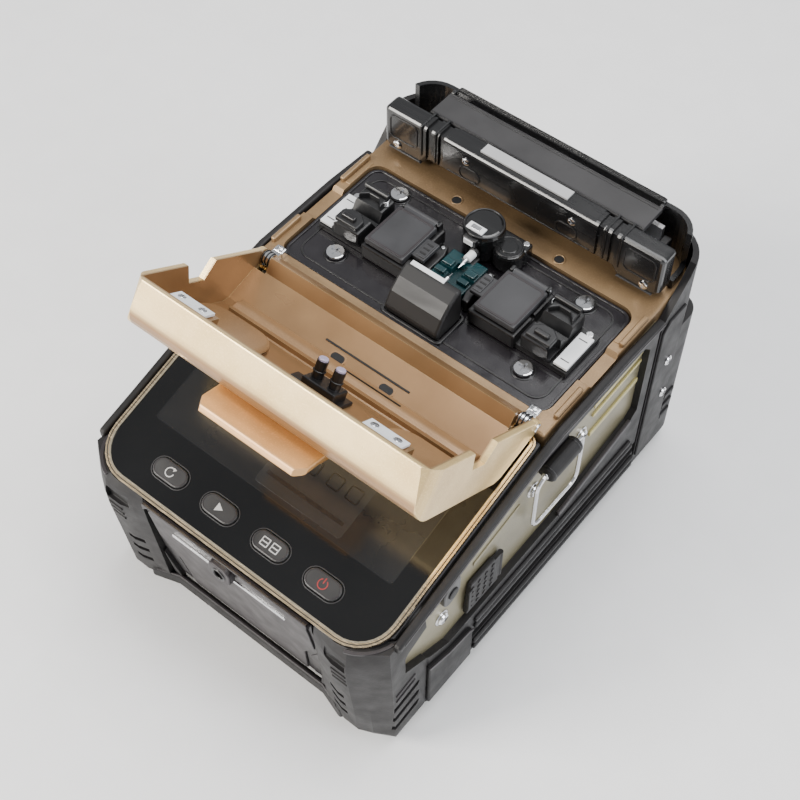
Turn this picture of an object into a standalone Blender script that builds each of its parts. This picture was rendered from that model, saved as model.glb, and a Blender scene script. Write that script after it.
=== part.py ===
"""Fibre fusion splicer with its wind cover open, as an assembly of separate solids.

Written in millimetres and scaled to metres on the way in.  +X is the operator's right, +Y runs from
the display to the tube heater, +Z is up.  The origin is under the middle of the footprint.
"""
import math

import bmesh
import bpy
from mathutils import Matrix, Vector

MM = 0.001
GAP = 0.3                      # clearance between neighbouring solids

# Case
CASE_HALF_W = 59.2
CASE_FLOOR_Z = 4.0
CASE_SPLIT_Z = 62.0            # joint between the lower case and the upper frames
CASE_FRONT_Y = -82.2
CASE_REAR_Y = 88.5
CASE_FOOT_SETBACK = 8.5        # how far the front face leans back towards the floor
CASE_CORNER = 13.0             # radius of the rear corners
CASE_CHAMFER = 9.0             # cut corners at the front
WALL = 2.2
GUARD_HALF_W = 62.0
GUARD_FRONT_Y = -88.0
GUARD_REAR_Y = 90.0
FRONT_GUARD_END_Y = -61.8
REAR_GUARD_START_Y = 61.8

# Display, in its own tilted frame: x across, y up the slope, z out of the glass
DISPLAY_Y, DISPLAY_Z = -85.5, 70.0
DISPLAY_TILT = math.radians(15.95)
DISPLAY_HALF_W, DISPLAY_LEN = 58.7, 86.0
TRIM_WIDTH, TRIM_THICK = 1.5, 1.3
KEY_X = (-31.8, -10.6, 10.6, 31.8)
KEY_NAMES = ("reset_key", "splice_key", "view_key", "power_key")
KEY_S, KEY_LEN, KEY_WIDTH = 11.4, 13.5, 6.7
LCD_HALF_W, LCD_FRONT, LCD_REAR = 48.8, 23.4, 82.0

# Splice chamber
DECK_Z = 94.6                  # top of the gold surround
TRAY_Z = 93.2
TRAY_HALF_W, TRAY_FRONT, TRAY_REAR = 54.5, 4.5, 56.0
FIBRE_Y = 30.5
TRAY_SCREW_X, TRAY_SCREW_Y = 38.8, (15.5, 49.8)

# Wind cover, drawn shut about its hinge axis and then swung open
HINGE_Y, HINGE_Z = -2.5, 97.2
COVER_OPEN = math.radians(147.0)
COVER_HALF_W, COVER_DEPTH, COVER_HEIGHT = 56.6, 63.5, 16.5

# Tube heater
BAR_HALF_W, BAR_FRONT, BAR_BACK, BAR_TOP = 57.0, 63.8, 71.5, 114.5
HEATER_LID_AXIS = (84.6, 113.2)
HEATER_LID_HALF_W = 43.5


# ---------------------------------------------------------------- helpers

def clear_scene():
    for obj in list(bpy.data.objects):
        bpy.data.objects.remove(obj, do_unlink=True)


def new_collection(name):
    group = bpy.data.collections.new(name)
    bpy.context.scene.collection.children.link(group)
    return group


clear_scene()
PARTS = new_collection("fusion_splicer")
CUTTERS = new_collection("cutters")


def finish_of(name, colour, roughness, metallic=0.0):
    mat = bpy.data.materials.new(name)
    mat.use_nodes = True
    shader = mat.node_tree.nodes["Principled BSDF"]
    shader.inputs["Base Color"].default_value = (*colour, 1.0)
    shader.inputs["Roughness"].default_value = roughness
    shader.inputs["Metallic"].default_value = metallic
    return mat


def frame_at(name, y, z, turn=0.0, x=0.0, axis="X"):
    """An empty on a hinge axis or a tilted plane; the pieces on it are drawn in its frame."""
    empty = bpy.data.objects.new(name, None)
    empty.location = (x * MM, y * MM, z * MM)
    empty.rotation_euler = Matrix.Rotation(turn, 3, axis).to_euler()
    empty.empty_display_size = 0.01
    PARTS.objects.link(empty)
    return empty


def place(name, bm, finish, parent=None, bevel=0.0, segments=2, smooth=35.0):
    bmesh.ops.recalc_face_normals(bm, faces=bm.faces)
    if bm.calc_volume(signed=True) < 0:
        bmesh.ops.reverse_faces(bm, faces=bm.faces)
    mesh = bpy.data.meshes.new(name)
    bm.to_mesh(mesh)
    bm.free()
    mesh.shade_smooth()
    mesh.set_sharp_from_angle(angle=math.radians(smooth))
    if finish:
        mesh.materials.append(finish)
    obj = bpy.data.objects.new(name, mesh)
    obj.parent = parent
    (PARTS if finish else CUTTERS).objects.link(obj)
    if not finish:
        obj.hide_render = True
        obj.display_type = "WIRE"
    if bevel:
        edge = obj.modifiers.new("edge", "BEVEL")
        edge.width = bevel * MM
        edge.segments = segments
        edge.limit_method = "ANGLE"
        edge.angle_limit = math.radians(40)
    return obj


def block(name, xs, ys, zs, finish=None, parent=None, bevel=0.0, segments=2):
    """A box between two limits on each axis."""
    bm = bmesh.new()
    bmesh.ops.create_cube(bm, size=1.0)
    low = Vector((min(xs), min(ys), min(zs))) * MM
    high = Vector((max(xs), max(ys), max(zs))) * MM
    centre = (low + high) / 2
    bmesh.ops.scale(bm, vec=high - low, verts=bm.verts)
    obj = place(name, bm, finish, parent, bevel, segments)
    obj.location = centre
    return obj


def prism(name, outline, span, axis, finish=None, parent=None, bevel=0.0, segments=2):
    """A flat outline pushed along one axis; the outline's two numbers are the other two axes."""
    order = {"X": (2, 0, 1), "Y": (0, 2, 1), "Z": (0, 1, 2)}[axis]
    bm = bmesh.new()
    verts = []
    for u, v in outline:
        triple = (u, v, span[0])
        verts.append(bm.verts.new(Vector([triple[i] for i in order]) * MM))
    face = bm.faces.new(verts)
    push = Vector([(0, 0, span[1] - span[0])[i] for i in order]) * MM
    grown = bmesh.ops.extrude_face_region(bm, geom=[face])
    moved = [item for item in grown["geom"] if isinstance(item, bmesh.types.BMVert)]
    bmesh.ops.translate(bm, vec=push, verts=moved)
    return place(name, bm, finish, parent, bevel, segments)


def rod(name, radius, span, axis, centre, finish=None, parent=None, bevel=0.0, sides=24,
        end_radius=None):
    """A round bar along one axis; centre holds the other two coordinates."""
    bm = bmesh.new()
    length = span[1] - span[0]
    far = radius if end_radius is None else end_radius
    bmesh.ops.create_cone(bm, cap_ends=True, segments=sides, radius1=radius * MM,
                          radius2=far * MM, depth=length * MM)
    turn = {"X": Matrix.Rotation(math.pi / 2, 3, "Y"), "Y": Matrix.Rotation(-math.pi / 2, 3, "X"),
            "Z": Matrix.Identity(3)}[axis]
    bmesh.ops.transform(bm, matrix=turn.to_4x4(), verts=bm.verts)
    middle = (span[0] + span[1]) / 2
    spot = {"X": (middle, *centre), "Y": (centre[0], middle, centre[1]), "Z": (*centre, middle)}
    obj = place(name, bm, finish, parent, bevel)
    obj.location = Vector(spot[axis]) * MM
    return obj


def arc(centre, radius, start, stop, steps=6):
    turns = [math.radians(start + (stop - start) * i / steps) for i in range(steps + 1)]
    return [(centre[0] + radius * math.cos(t), centre[1] + radius * math.sin(t)) for t in turns]


def round_rect(x0, x1, y0, y1, front, rear=None, steps=6):
    """Outline of a rectangle whose low-Y and high-Y corners have their own radii."""
    rear = front if rear is None else rear
    return (arc((x0 + front, y0 + front), front, 180, 270, steps)
            + arc((x1 - front, y0 + front), front, 270, 360, steps)
            + arc((x1 - rear, y1 - rear), rear, 0, 90, steps)
            + arc((x0 + rear, y1 - rear), rear, 90, 180, steps))


def cut_rect(x0, x1, y0, y1, chamfer, rear, steps=6):
    """Outline of a rectangle with cut low-Y corners and rounded high-Y corners."""
    return ([(x0, y0 + chamfer), (x0 + chamfer, y0), (x1 - chamfer, y0), (x1, y0 + chamfer)]
            + arc((x1 - rear, y1 - rear), rear, 0, 90, steps)
            + arc((x0 + rear, y1 - rear), rear, 90, 180, steps))


def obround(cx, cy, length, width, steps=8):
    r = width / 2
    reach = length / 2 - r
    return arc((cx + reach, cy), r, -90, 90, steps) + arc((cx - reach, cy), r, 90, 270, steps)


def change(target, tool, operation):
    step = target.modifiers.new(operation.lower(), "BOOLEAN")
    step.operation = operation
    step.solver = "EXACT"
    step.object = tool


def cut(target, *tools):
    for tool in tools:
        change(target, tool, "DIFFERENCE")
    return target


def fuse(target, *tools):
    for tool in tools:
        change(target, tool, "UNION")
    return target


def sides(low, high, sign):
    """The X limits of a piece on one side, from its distances to the middle."""
    return (low * sign, high * sign)


SIDE_NAMES = ((-1, "left"), (1, "right"))

# ---------------------------------------------------------------- finishes

OLIVE = finish_of("olive_gold", (0.36, 0.33, 0.20), 0.42, 0.55)
GOLD = finish_of("champagne_gold", (0.52, 0.38, 0.22), 0.34, 0.7)
COVER_GOLD = finish_of("cover_gold", (0.66, 0.48, 0.30), 0.32, 0.6)
TAB_GOLD = finish_of("tab_gold", (0.80, 0.50, 0.28), 0.35, 0.5)
TRIM_GOLD = finish_of("trim_gold", (0.72, 0.58, 0.34), 0.22, 0.9)
RUBBER = finish_of("armour_rubber", (0.035, 0.033, 0.034), 0.6)
GREY = finish_of("frame_grey", (0.10, 0.095, 0.105), 0.45)
BLACK = finish_of("gloss_black", (0.012, 0.012, 0.013), 0.16)
SATIN = finish_of("satin_black", (0.028, 0.028, 0.030), 0.38)
LID_GREY = finish_of("lid_grey", (0.11, 0.11, 0.115), 0.42)
KEY_GREY = finish_of("key_grey", (0.075, 0.075, 0.075), 0.45)
LCD_GREY = finish_of("lcd_grey", (0.05, 0.052, 0.055), 0.25)
STEEL = finish_of("steel", (0.75, 0.75, 0.76), 0.25, 1.0)
ALUMINIUM = finish_of("heater_aluminium", (0.55, 0.55, 0.56), 0.4, 1.0)
WHITE = finish_of("white_plate", (0.82, 0.83, 0.84), 0.4)
CERAMIC = finish_of("vgroove_ceramic", (0.04, 0.16, 0.17), 0.3)
BOARD = finish_of("circuit_board", (0.02, 0.12, 0.06), 0.5)


# ---------------------------------------------------------------- case and frames

def lower_case():
    lean = CASE_FOOT_SETBACK
    outline = cut_rect(-CASE_HALF_W, CASE_HALF_W, CASE_FRONT_Y, CASE_REAR_Y, CASE_CHAMFER,
                       CASE_CORNER)
    tub = prism("lower_case", outline, (CASE_FLOOR_Z, CASE_SPLIT_Z), "Z", OLIVE)
    slope = [(CASE_FRONT_Y - 5, CASE_SPLIT_Z + 1), (CASE_FRONT_Y, CASE_SPLIT_Z + 1),
             (CASE_FRONT_Y, CASE_SPLIT_Z), (CASE_FRONT_Y + lean, CASE_FLOOR_Z),
             (CASE_FRONT_Y + lean, CASE_FLOOR_Z - 1), (CASE_FRONT_Y - 5, CASE_FLOOR_Z - 1)]
    hollow = cut_rect(-CASE_HALF_W + WALL, CASE_HALF_W - WALL, CASE_FRONT_Y + lean + WALL,
                      CASE_REAR_Y - WALL, 2.0, CASE_CORNER - WALL)
    cut(tub, prism("case_lean", slope, (-70, 70), "X"),
        prism("case_hollow", hollow, (CASE_FLOOR_Z + WALL, CASE_SPLIT_Z + 1), "Z"))


def base_plate():
    plate = prism("base_plate", round_rect(-50, 50, -70, 78, 6), (2.2, CASE_FLOOR_Z - GAP), "Z",
                  RUBBER)
    for i, (x, y) in enumerate(((-40, -60), (40, -60), (-40, 68), (40, 68), (0, 0))):
        fuse(plate, rod(f"foot_{i}", 6.0, (0, 3.0), "Z", (x, y), sides=20))


def display_frame():
    drop = TRIM_THICK + GAP
    front = CASE_FRONT_Y - 0.56
    rear = -2.5
    bottom = CASE_SPLIT_Z + GAP
    rise = math.tan(DISPLAY_TILT)
    front_z = DISPLAY_Z - drop * math.cos(DISPLAY_TILT)
    rear_z = front_z + (rear - front) * rise
    outline = [(front, bottom), (rear, bottom), (rear, rear_z), (front, front_z)]
    body = prism("display_frame", outline, (-CASE_HALF_W, CASE_HALF_W), "X", GREY, bevel=1.0)
    hollow = [(front + WALL, bottom - 2), (rear - WALL, bottom - 2),
              (rear - WALL, rear_z - WALL * 1.4), (front + WALL, front_z - WALL * 0.8)]
    half = CASE_HALF_W - WALL
    for sign, side in SIDE_NAMES:
        corner = [(CASE_HALF_W + 2, front - 2), (CASE_HALF_W + 2, front + CASE_CHAMFER + 2),
                  (CASE_HALF_W - CASE_CHAMFER - 2, front - 2)]
        cut(body, prism(f"frame_corner_{side}", [(x * sign, y) for x, y in corner],
                        (bottom - 3, 80), "Z"))
    cut(body, prism("display_frame_hollow", hollow, (-half, half), "X"),
        block("display_opening", (-52, 52), (4, 82), (-9, 2), parent=DISPLAY_PLANE))


def chamber_frame():
    outline = round_rect(-CASE_HALF_W, CASE_HALF_W, -2.0, CASE_REAR_Y, 1.0, CASE_CORNER)
    shell = prism("chamber_frame", outline, (CASE_SPLIT_Z + GAP, DECK_Z), "Z", GOLD, bevel=0.8)
    hollow = round_rect(-CASE_HALF_W + WALL, CASE_HALF_W - WALL, -2.0 + WALL, CASE_REAR_Y - WALL,
                        1.0, CASE_CORNER - WALL)
    mouth = round_rect(-TRAY_HALF_W - GAP, TRAY_HALF_W + GAP, TRAY_FRONT - GAP, TRAY_REAR + GAP, 5)
    cut(shell, prism("chamber_hollow", hollow, (CASE_SPLIT_Z - 2, DECK_Z - 2.6), "Z"),
        prism("tray_mouth", mouth, (DECK_Z - 6, DECK_Z + 2), "Z"))
    notch = [(FIBRE_Y - 9, DECK_Z + 1), (FIBRE_Y - 7, DECK_Z - 1.8),
             (FIBRE_Y + 7, DECK_Z - 1.8), (FIBRE_Y + 9, DECK_Z + 1)]
    for sign, side in SIDE_NAMES:
        cut(shell, prism(f"fibre_notch_{side}", notch, sides(53, 61, sign), "X"))


def front_panel():
    """The recessed plate under the display, leaning with the case."""
    def face(z, out):
        lean = max(0.0, CASE_SPLIT_Z - z) * CASE_FOOT_SETBACK / (CASE_SPLIT_Z - CASE_FLOOR_Z)
        return CASE_FRONT_Y - 1.0 + lean - out
    outline = [(face(66, 0), 66), (face(62, 0), 62), (face(14, 0), 14),
               (face(14, 1.4), 14), (face(62, 1.4), 62), (face(66, 1.4), 66)]
    prism("front_panel", outline, (-35.2, 35.2), "X", GREY)
    strip = face(56.3, 1.4 + GAP)
    block("front_strip", (-24, 24), (strip, strip - 0.9), (55.6, 57.0), STEEL, bevel=0.3)


def front_guard():
    """The rubber bumper round both front corners, joined by a lip along the floor."""
    ledge = [(-42, -84.6), (-33, -80), (33, -80), (42, -84.6), (42, -77.6), (-42, -77.6)]
    guard = prism("front_guard", ledge, (6.8, 12), "Z", RUBBER, bevel=0.6)
    cut_in = CASE_CHAMFER + GAP * 0.4
    inner_x, inner_y = CASE_HALF_W + GAP, CASE_FRONT_Y - 0.9
    lean = [(-93, 60), (-87.9, 60), (-82.6, 5), (-93, 5)]
    behind = [(-70, 75), (inner_y - 0.02, 75), (inner_y - 0.02, 62), (inner_y + 8.5, 4),
              (inner_y + 8.5, -1), (-70, -1)]
    window = [(-72.5, 49), (-60, 41.3), (-60, 63), (-71, 59.5), (-72.5, 57.5)]
    for sign, side in SIDE_NAMES:
        plan = [(36, -74.5), (36, -85.2), (40, -86.6), (45, GUARD_FRONT_Y),
                (51, GUARD_FRONT_Y), (GUARD_HALF_W, -79.5), (GUARD_HALF_W, FRONT_GUARD_END_Y),
                (inner_x, FRONT_GUARD_END_Y), (inner_x, inner_y + cut_in),
                (inner_x - cut_in, inner_y), (inner_x - cut_in, -74.5)]
        corner = prism(f"corner_guard_{side}", [(x * sign, y) for x, y in plan], (7.5, 69.5), "Z")
        foot = block(f"corner_foot_{side}", sides(41, 53, sign), (-84.2, -77.9), (6.4, 11.5),
                     bevel=0.7)
        slots = [prism(f"corner_back_{side}", behind, sides(30, 50.6, sign), "X"),
                 block(f"corner_slot_{side}", sides(41.5, 50.5, sign), (-92, -85.8), (57, 63)),
                 prism(f"corner_lean_{side}", lean, sides(30, 70, sign), "X"),
                 prism(f"corner_window_{side}", window, sides(55, 66, sign), "X")]
        for level in (14, 21, 28):
            slots.append(block(f"side_slot_{side}_{level}", sides(GUARD_HALF_W - 1.2, 65, sign),
                               (-77, -66), (level, level + 3.2)))
        fuse(guard, corner, foot)
        cut(guard, *slots)
    edge = DISPLAY_HALF_W + GAP
    cut(guard, prism("display_clearance", round_rect(-edge, edge, -GAP, 30, 14.3, 1),
                     (-TRIM_THICK - GAP, 6), "Z", parent=DISPLAY_PLANE))


def side_guard(sign, side):
    """The armour along one side: a broad foot and a rail up the display's edge."""
    inner, outer = CASE_HALF_W + GAP, GUARD_HALF_W
    start, stop = FRONT_GUARD_END_Y + GAP, REAR_GUARD_START_Y - GAP
    outline = [(start, 7), (stop, 7), (stop, 88), (40, 90.5), (4, 90.5), (-3, 89.4), (start, 72.4)]
    guard = prism(f"side_guard_{side}", outline, sides(inner, outer, sign), "X", RUBBER, bevel=1.0)
    window = [(start - 2, 42), (-50, 34.5), (10, 36), (52, 44.5), (56, 48), (56, 82), (52, 86.2),
              (-2, 86.2), (-9.5, 83.8), (start - 2, 68.2)]
    groove = [(start - 1, 17), (stop + 1, 17), (stop + 1, 23), (start - 1, 23)]
    cut(guard, prism(f"side_window_{side}", window, sides(inner - 2, outer + 2, sign), "X"),
        prism(f"rail_groove_{side}", groove, sides(outer - 1.1, outer + 2, sign), "X"))


def rear_guard(sign, side):
    """A quarter wall round one rear corner, squarer and thicker below the case joint."""
    inner_x, inner_y = CASE_HALF_W + GAP, CASE_REAR_Y + GAP
    inner = [(38, inner_y)] + arc((inner_x - 13.3, inner_y - 13.3), 13.3, 90, 0, 8)
    inner += [(inner_x, REAR_GUARD_START_Y)]

    def wall(radius, low, high, name, finish=None):
        centre = (GUARD_HALF_W - radius, GUARD_REAR_Y - radius)
        outer = [(GUARD_HALF_W, REAR_GUARD_START_Y)] + arc(centre, radius, 0, 90, 8)
        plan = outer + [(38, GUARD_REAR_Y)] + inner
        return prism(name, [(x * sign, y) for x, y in plan], (low, high), "Z", finish)
    top = [(REAR_GUARD_START_Y - 2, 88), (REAR_GUARD_START_Y, 88), (78, 104.5), (92, 104.5),
           (92, 112), (REAR_GUARD_START_Y - 2, 112)]
    guard = wall(7, 7, 74, f"rear_guard_{side}", RUBBER)
    fuse(guard, wall(15, 68, 106, f"upper_wall_{side}"))
    cut(guard, prism(f"guard_top_{side}", top, sides(30, 70, sign), "X"))


def rear_panel():
    panel = block("rear_panel", (-37.5, 37.5), (CASE_REAR_Y + GAP, GUARD_REAR_Y - 0.4), (8, 92),
                  SATIN, bevel=0.5)
    for row in range(5):
        level = 62 + 5 * row
        cut(panel, block(f"vent_{row}", (-24, 24), (CASE_REAR_Y, GUARD_REAR_Y + 1),
                         (level, level + 2)))


def rear_hood():
    """The curved wall behind the heater, with the strip that its lid hinges against."""
    outer = [(57.5, 72)] + arc((46.0, 76.8), 11.5, 0, 90, 8)
    inner = [(55.7, 72)] + arc((46.0, 76.8), 9.7, 0, 90, 8)
    right = outer + [(-x, y) for x, y in reversed(outer)]
    back = inner + [(-x, y) for x, y in reversed(inner)]
    plan = right + back[::-1]
    hood = prism("rear_hood", plan, (DECK_Z + 0.4, 112.6), "Z", BLACK)
    strip = block("hood_strip", (-42.5, 42.5), (86.2, 88.5), (104, 113.9), bevel=0.5)
    fuse(hood, strip)
    for sign, side in SIDE_NAMES:
        cut(hood, block(f"hood_mouth_{side}", sides(50, 60, sign), (70, 80.6), (98.5, 115)))


def inside_of_case():
    block("battery_pack", (-38, 38), (48, 84), (7, 52), SATIN, bevel=1.5)
    block("main_board", (-50, 50), (-70, 40), (14, 15.6), BOARD)


# ---------------------------------------------------------------- display

def display():
    half, length = DISPLAY_HALF_W, DISPLAY_LEN
    trim = prism("display_trim", round_rect(-half, half, 0, length, 14, 4),
                 (-TRIM_THICK, 0), "Z", TRIM_GOLD, DISPLAY_PLANE)
    inset = TRIM_WIDTH
    hole = round_rect(-half + inset, half - inset, inset, length - inset, 14 - inset, 4 - inset)
    cut(trim, prism("trim_hole", hole, (-5, 3), "Z", parent=DISPLAY_PLANE))
    inset = TRIM_WIDTH + GAP
    pane = round_rect(-half + inset, half - inset, inset, length - inset, 14 - inset, 4 - inset)
    glass = prism("display_glass", pane, (-TRIM_THICK, -0.2), "Z", BLACK, DISPLAY_PLANE)
    for name, x in zip(KEY_NAMES, KEY_X):
        hole = obround(x, KEY_S, KEY_LEN + 2 * GAP, KEY_WIDTH + 2 * GAP)
        cut(glass, prism(f"{name}_hole", hole, (-5, 3), "Z", parent=DISPLAY_PLANE))
        seat = frame_at(f"{name}_axis", 0, 0)
        seat.parent = DISPLAY_PLANE
        seat.location = (x * MM, KEY_S * MM, 0)
        key = obround(0, 0, KEY_LEN, KEY_WIDTH)
        prism(name, key, (-3.4, 0.7), "Z", KEY_GREY, seat, bevel=0.5)
    block("lcd_module", (-LCD_HALF_W, LCD_HALF_W), (LCD_FRONT, LCD_REAR - 2), (-5.2, -1.6),
          LCD_GREY, DISPLAY_PLANE)
    block("key_board", (-46, 46), (5, 18.5), (-6.4, -4.9), BOARD, DISPLAY_PLANE)


# ---------------------------------------------------------------- splice chamber

def chamber_tray():
    outline = round_rect(-TRAY_HALF_W, TRAY_HALF_W, TRAY_FRONT, TRAY_REAR, 4.7)
    tray = prism("chamber_tray", outline, (TRAY_Z - 3, TRAY_Z), "Z", SATIN, bevel=0.4)
    cut(tray, block("feed_slot", (-7.6, 7.6), (21.6, 39.4), (TRAY_Z - 1.2, TRAY_Z + 1)))
    for sign, side in SIDE_NAMES:
        for y, end in zip(TRAY_SCREW_Y, ("front", "rear")):
            spot = (TRAY_SCREW_X * sign, y)
            head = rod(f"tray_screw_{end}_{side}", 3.3, (TRAY_Z + GAP, TRAY_Z + 1.5), "Z", spot,
                       STEEL, bevel=0.4, sides=20)
            for turn, (dx, dy) in enumerate(((1.9, 0.35), (0.35, 1.9))):
                slot = block(f"cross_{end}_{side}_{turn}", (spot[0] - dx, spot[0] + dx),
                             (y - dy, y + dy), (TRAY_Z + 0.9, TRAY_Z + 3))
                cut(head, slot)


def vgroove_block():
    base = block("vgroove_block", (-7.2, 7.2), (22, 39), (TRAY_Z - 0.8, 98), CERAMIC, bevel=0.4)
    vee = [(FIBRE_Y - 1.2, 98.5), (FIBRE_Y, 96.4), (FIBRE_Y + 1.2, 98.5)]
    cut(base, prism("fibre_vee", vee, (-9, 9), "X"),
        block("arc_gap", (-2, 2), (26, 35), (95.4, 99)))


def stage(sign, side):
    """One fibre stage: carriage, clamp lid on its hinge, outer guide and its white plate."""
    slide = frame_at(f"{side}_stage_axis", FIBRE_Y, TRAY_Z)
    y0 = -FIBRE_Y
    z0 = -TRAY_Z

    def local(low, high):
        return (low + y0, high + y0)

    def up(low, high):
        return (low + z0, high + z0)
    base = block(f"clamp_base_{side}", sides(12.8, 51, sign), local(21, 40),
                 up(TRAY_Z + GAP, 95.6), SATIN, slide)
    tower = block(f"clamp_tower_{side}", sides(13, 31.5, sign), local(19.6, 42.4),
                  up(TRAY_Z + 0.5, 99.8), parent=slide, bevel=0.8)
    groove = block(f"fibre_channel_{side}", sides(10, 34, sign), local(29.6, 31.4),
                   up(98.4, 101), parent=slide)
    cut(fuse(base, tower), groove)
    guide = block(f"guide_block_{side}", sides(33.2, 44.6, sign), local(20.5, 40.5),
                  up(95.9, 102), SATIN, slide, bevel=0.8)
    vee = [(FIBRE_Y - 3.5 + y0, 103 + z0), (FIBRE_Y - 0.8 + y0, 98.2 + z0),
           (FIBRE_Y + 0.8 + y0, 98.2 + z0), (FIBRE_Y + 3.5 + y0, 103 + z0)]
    bite = rod(f"guide_bite_{side}", 3.2, up(97.5, 104), "Z", (44.8 * sign, 23.5 + y0),
               parent=slide)
    cut(guide, prism(f"guide_vee_{side}", vee, sides(30, 47, sign), "X", parent=slide), bite)
    block(f"guide_plate_{side}", sides(45.6, 50.8, sign), local(21.6, 37), up(95.9, 97), WHITE,
          slide, bevel=0.2)

    hinge = frame_at(f"{side}_clamp_axis", 41.4, 101.2)
    lid = block(f"clamp_lid_{side}", sides(14.4, 30.6, sign), (-20.9, -1.9), (-1.1, 1.6), LID_GREY,
                hinge, bevel=0.8)
    tab = block(f"clamp_tab_{side}", sides(9.4, 15, sign), (-16, -7), (-1.1, 0.6), parent=hinge,
                bevel=0.4)
    knuckle = rod(f"clamp_knuckle_{side}", 1.1, sides(16, 29, sign)[::sign], "X", (0, 0),
                  parent=hinge, sides=16)
    web = block(f"clamp_web_{side}", sides(16, 29, sign), (-3, 0.2), (-0.9, 0.9), parent=hinge)
    fuse(lid, tab, knuckle, web)


def optics():
    front = [(7.0, TRAY_Z + GAP), (6.4, 96.5), (9.5, 101.5), (13.5, 105.2), (18.0, 107.8),
             (19.8, 107.2), (19.8, TRAY_Z + GAP)]
    prism("front_optics_cover", front, (-10.8, 10.8), "X", BLACK, bevel=0.9)
    dome = rod("rear_optics_cover", 7.2, (TRAY_Z + GAP, 105.5), "Z", (-2.0, 48.6), BLACK,
               bevel=1.6)
    small = rod("rear_lens_pod", 5.4, (TRAY_Z + GAP, 101.0), "Z", (8.4, 48.6), bevel=1.2)
    back = block("rear_lens_back", (-9.2, 13.8), (50.2, 55), (TRAY_Z + GAP, 100.6), bevel=0.8)
    fuse(dome, small, back)
    for name, start, stop in (("electrode_front", 20.2, 29.0), ("electrode_rear", 41.1, 32.0)):
        way = 1 if stop > start else -1
        pin = rod(name, 0.8, sorted((start, stop - 2.6 * way)), "Y", (0, 99.4), STEEL, sides=12)
        span = sorted((stop - 3.2 * way, stop))
        ends = (0.72, 0.12) if way > 0 else (0.12, 0.72)
        tip = rod(f"{name}_tip", ends[0], span, "Y", (0, 99.4), sides=12, end_radius=ends[1])
        fuse(pin, tip)


# ---------------------------------------------------------------- wind cover

def hinge_brackets():
    for sign, side in SIDE_NAMES:
        bracket = block(f"hinge_bracket_{side}", sides(50.4, 53.9, sign), (-4.6, 1.4),
                        (DECK_Z + GAP, 97.4), STEEL)
        boss = rod(f"hinge_boss_{side}", 2.3, sides(50.4, 53.9, sign)[::sign], "X",
                   (HINGE_Y, HINGE_Z), sides=20)
        bore = rod(f"hinge_bore_{side}", 1.3, sides(49, 58, sign)[::sign], "X",
                   (HINGE_Y, HINGE_Z), sides=20)
        cut(fuse(bracket, boss), bore)
        rod(f"hinge_pin_{side}", 1.0, sides(49.9, 56.9, sign)[::sign], "X", (HINGE_Y, HINGE_Z),
            STEEL, sides=16)


def wind_cover():
    swing = frame_at("wind_cover_axis", HINGE_Y, HINGE_Z, COVER_OPEN)
    half, deep, high = COVER_HALF_W, COVER_DEPTH, COVER_HEIGHT
    low = -2.2
    outer = [(2.2, low), (-1.5, -1.7), (-2.3, 0.2), (-1.5, 1.9), (0.6, 3.6), (11.4, 15.2),
             (14.6, high)]
    outer += arc((deep - 9.5, high - 8), 8, 90, 8, 6) + [(deep - 1.2, 7), (deep, low)]
    inner = [(3.4, low - 1), (3.4, 3.4), (13.0, 13.6), (15.4, high - 1.9)]
    inner += arc((deep - 9.5, high - 8), 6.1, 90, 8, 6) + [(deep - 3.2, 7), (deep - 2.1, low - 1)]
    cover = prism("wind_cover", outer, (-half, half), "X", COVER_GOLD, swing, bevel=0.5)
    plan = round_rect(0.05 - half, half - 0.05, -5, deep + 0.6, 1, 7)
    change(cover, prism("cover_plan", plan, (-8, high + 5), "Z", parent=swing), "INTERSECT")
    cut(cover, prism("cover_hollow", inner, (-half + 2.4, half - 2.4), "X", parent=swing))
    notch = [(26, low - 1), (29.5, 4.5), (37, 4.5), (40.5, low - 1)]
    for sign, side in SIDE_NAMES:
        boss = block(f"plate_boss_{side}", sides(28.6, 44.8, sign), (deep - 9.2, deep - 3),
                     (-0.6, high - 5), parent=swing)
        knuckle = rod(f"cover_knuckle_{side}", 2.4, sides(half - 2.2, half - 0.2, sign)[::sign],
                      "X", (0, 0), parent=swing)
        fuse(cover, boss, knuckle)
        reach = sides(half - 4, half + 2, sign)
        cut(cover, prism(f"cover_notch_{side}", notch, reach, "X", parent=swing),
            rod(f"cover_pocket_{side}", 5.4, sides(49.6, half - 2.4, sign)[::sign], "X", (0, 0),
                parent=swing),
            rod(f"cover_bore_{side}", 1.3, sides(half - 4, half + 2, sign)[::sign], "X", (0, 0),
                parent=swing, sides=20))
        block(f"pad_plate_{side}", sides(29.8, 43.6, sign), (deep - 8.2, deep - 2.6),
              (-0.6 - GAP, -1.9), WHITE, swing, bevel=0.2)
    ridge = block("cover_ridge", (-48, 48), (17.5, 20.5), (high - 4.0, high - 1.0), parent=swing)
    fuse(cover, ridge)
    seat = high + GAP
    lip = [(50, seat), (55.5, seat), (66, seat + 3.3), (66, seat + 5.9), (57, seat + 3.2),
           (50, seat + 2.4)]
    tab = prism("pull_tab", lip, (-20.6, 20.6), "X", TAB_GOLD, swing, bevel=0.7)
    for sign, side in SIDE_NAMES:
        corner = [(22 * sign, 60.5), (22 * sign, 70), (15 * sign, 70)]
        cut(tab, prism(f"tab_corner_{side}", corner, (high - 2, high + 12), "Z", parent=swing))

    lamp = block("lamp_module", (-6.5, 6.5), (27.5, 35.5), (high - 6.4, high - 1.9 - GAP), BLACK,
                 swing, bevel=0.6)
    for sign, side in SIDE_NAMES:
        post = rod(f"lamp_post_{side}", 1.9, (4.0, high - 5), "Z", (3.4 * sign, 31.5),
                   parent=swing, sides=16)
        fuse(lamp, post)


# ---------------------------------------------------------------- tube heater

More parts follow.
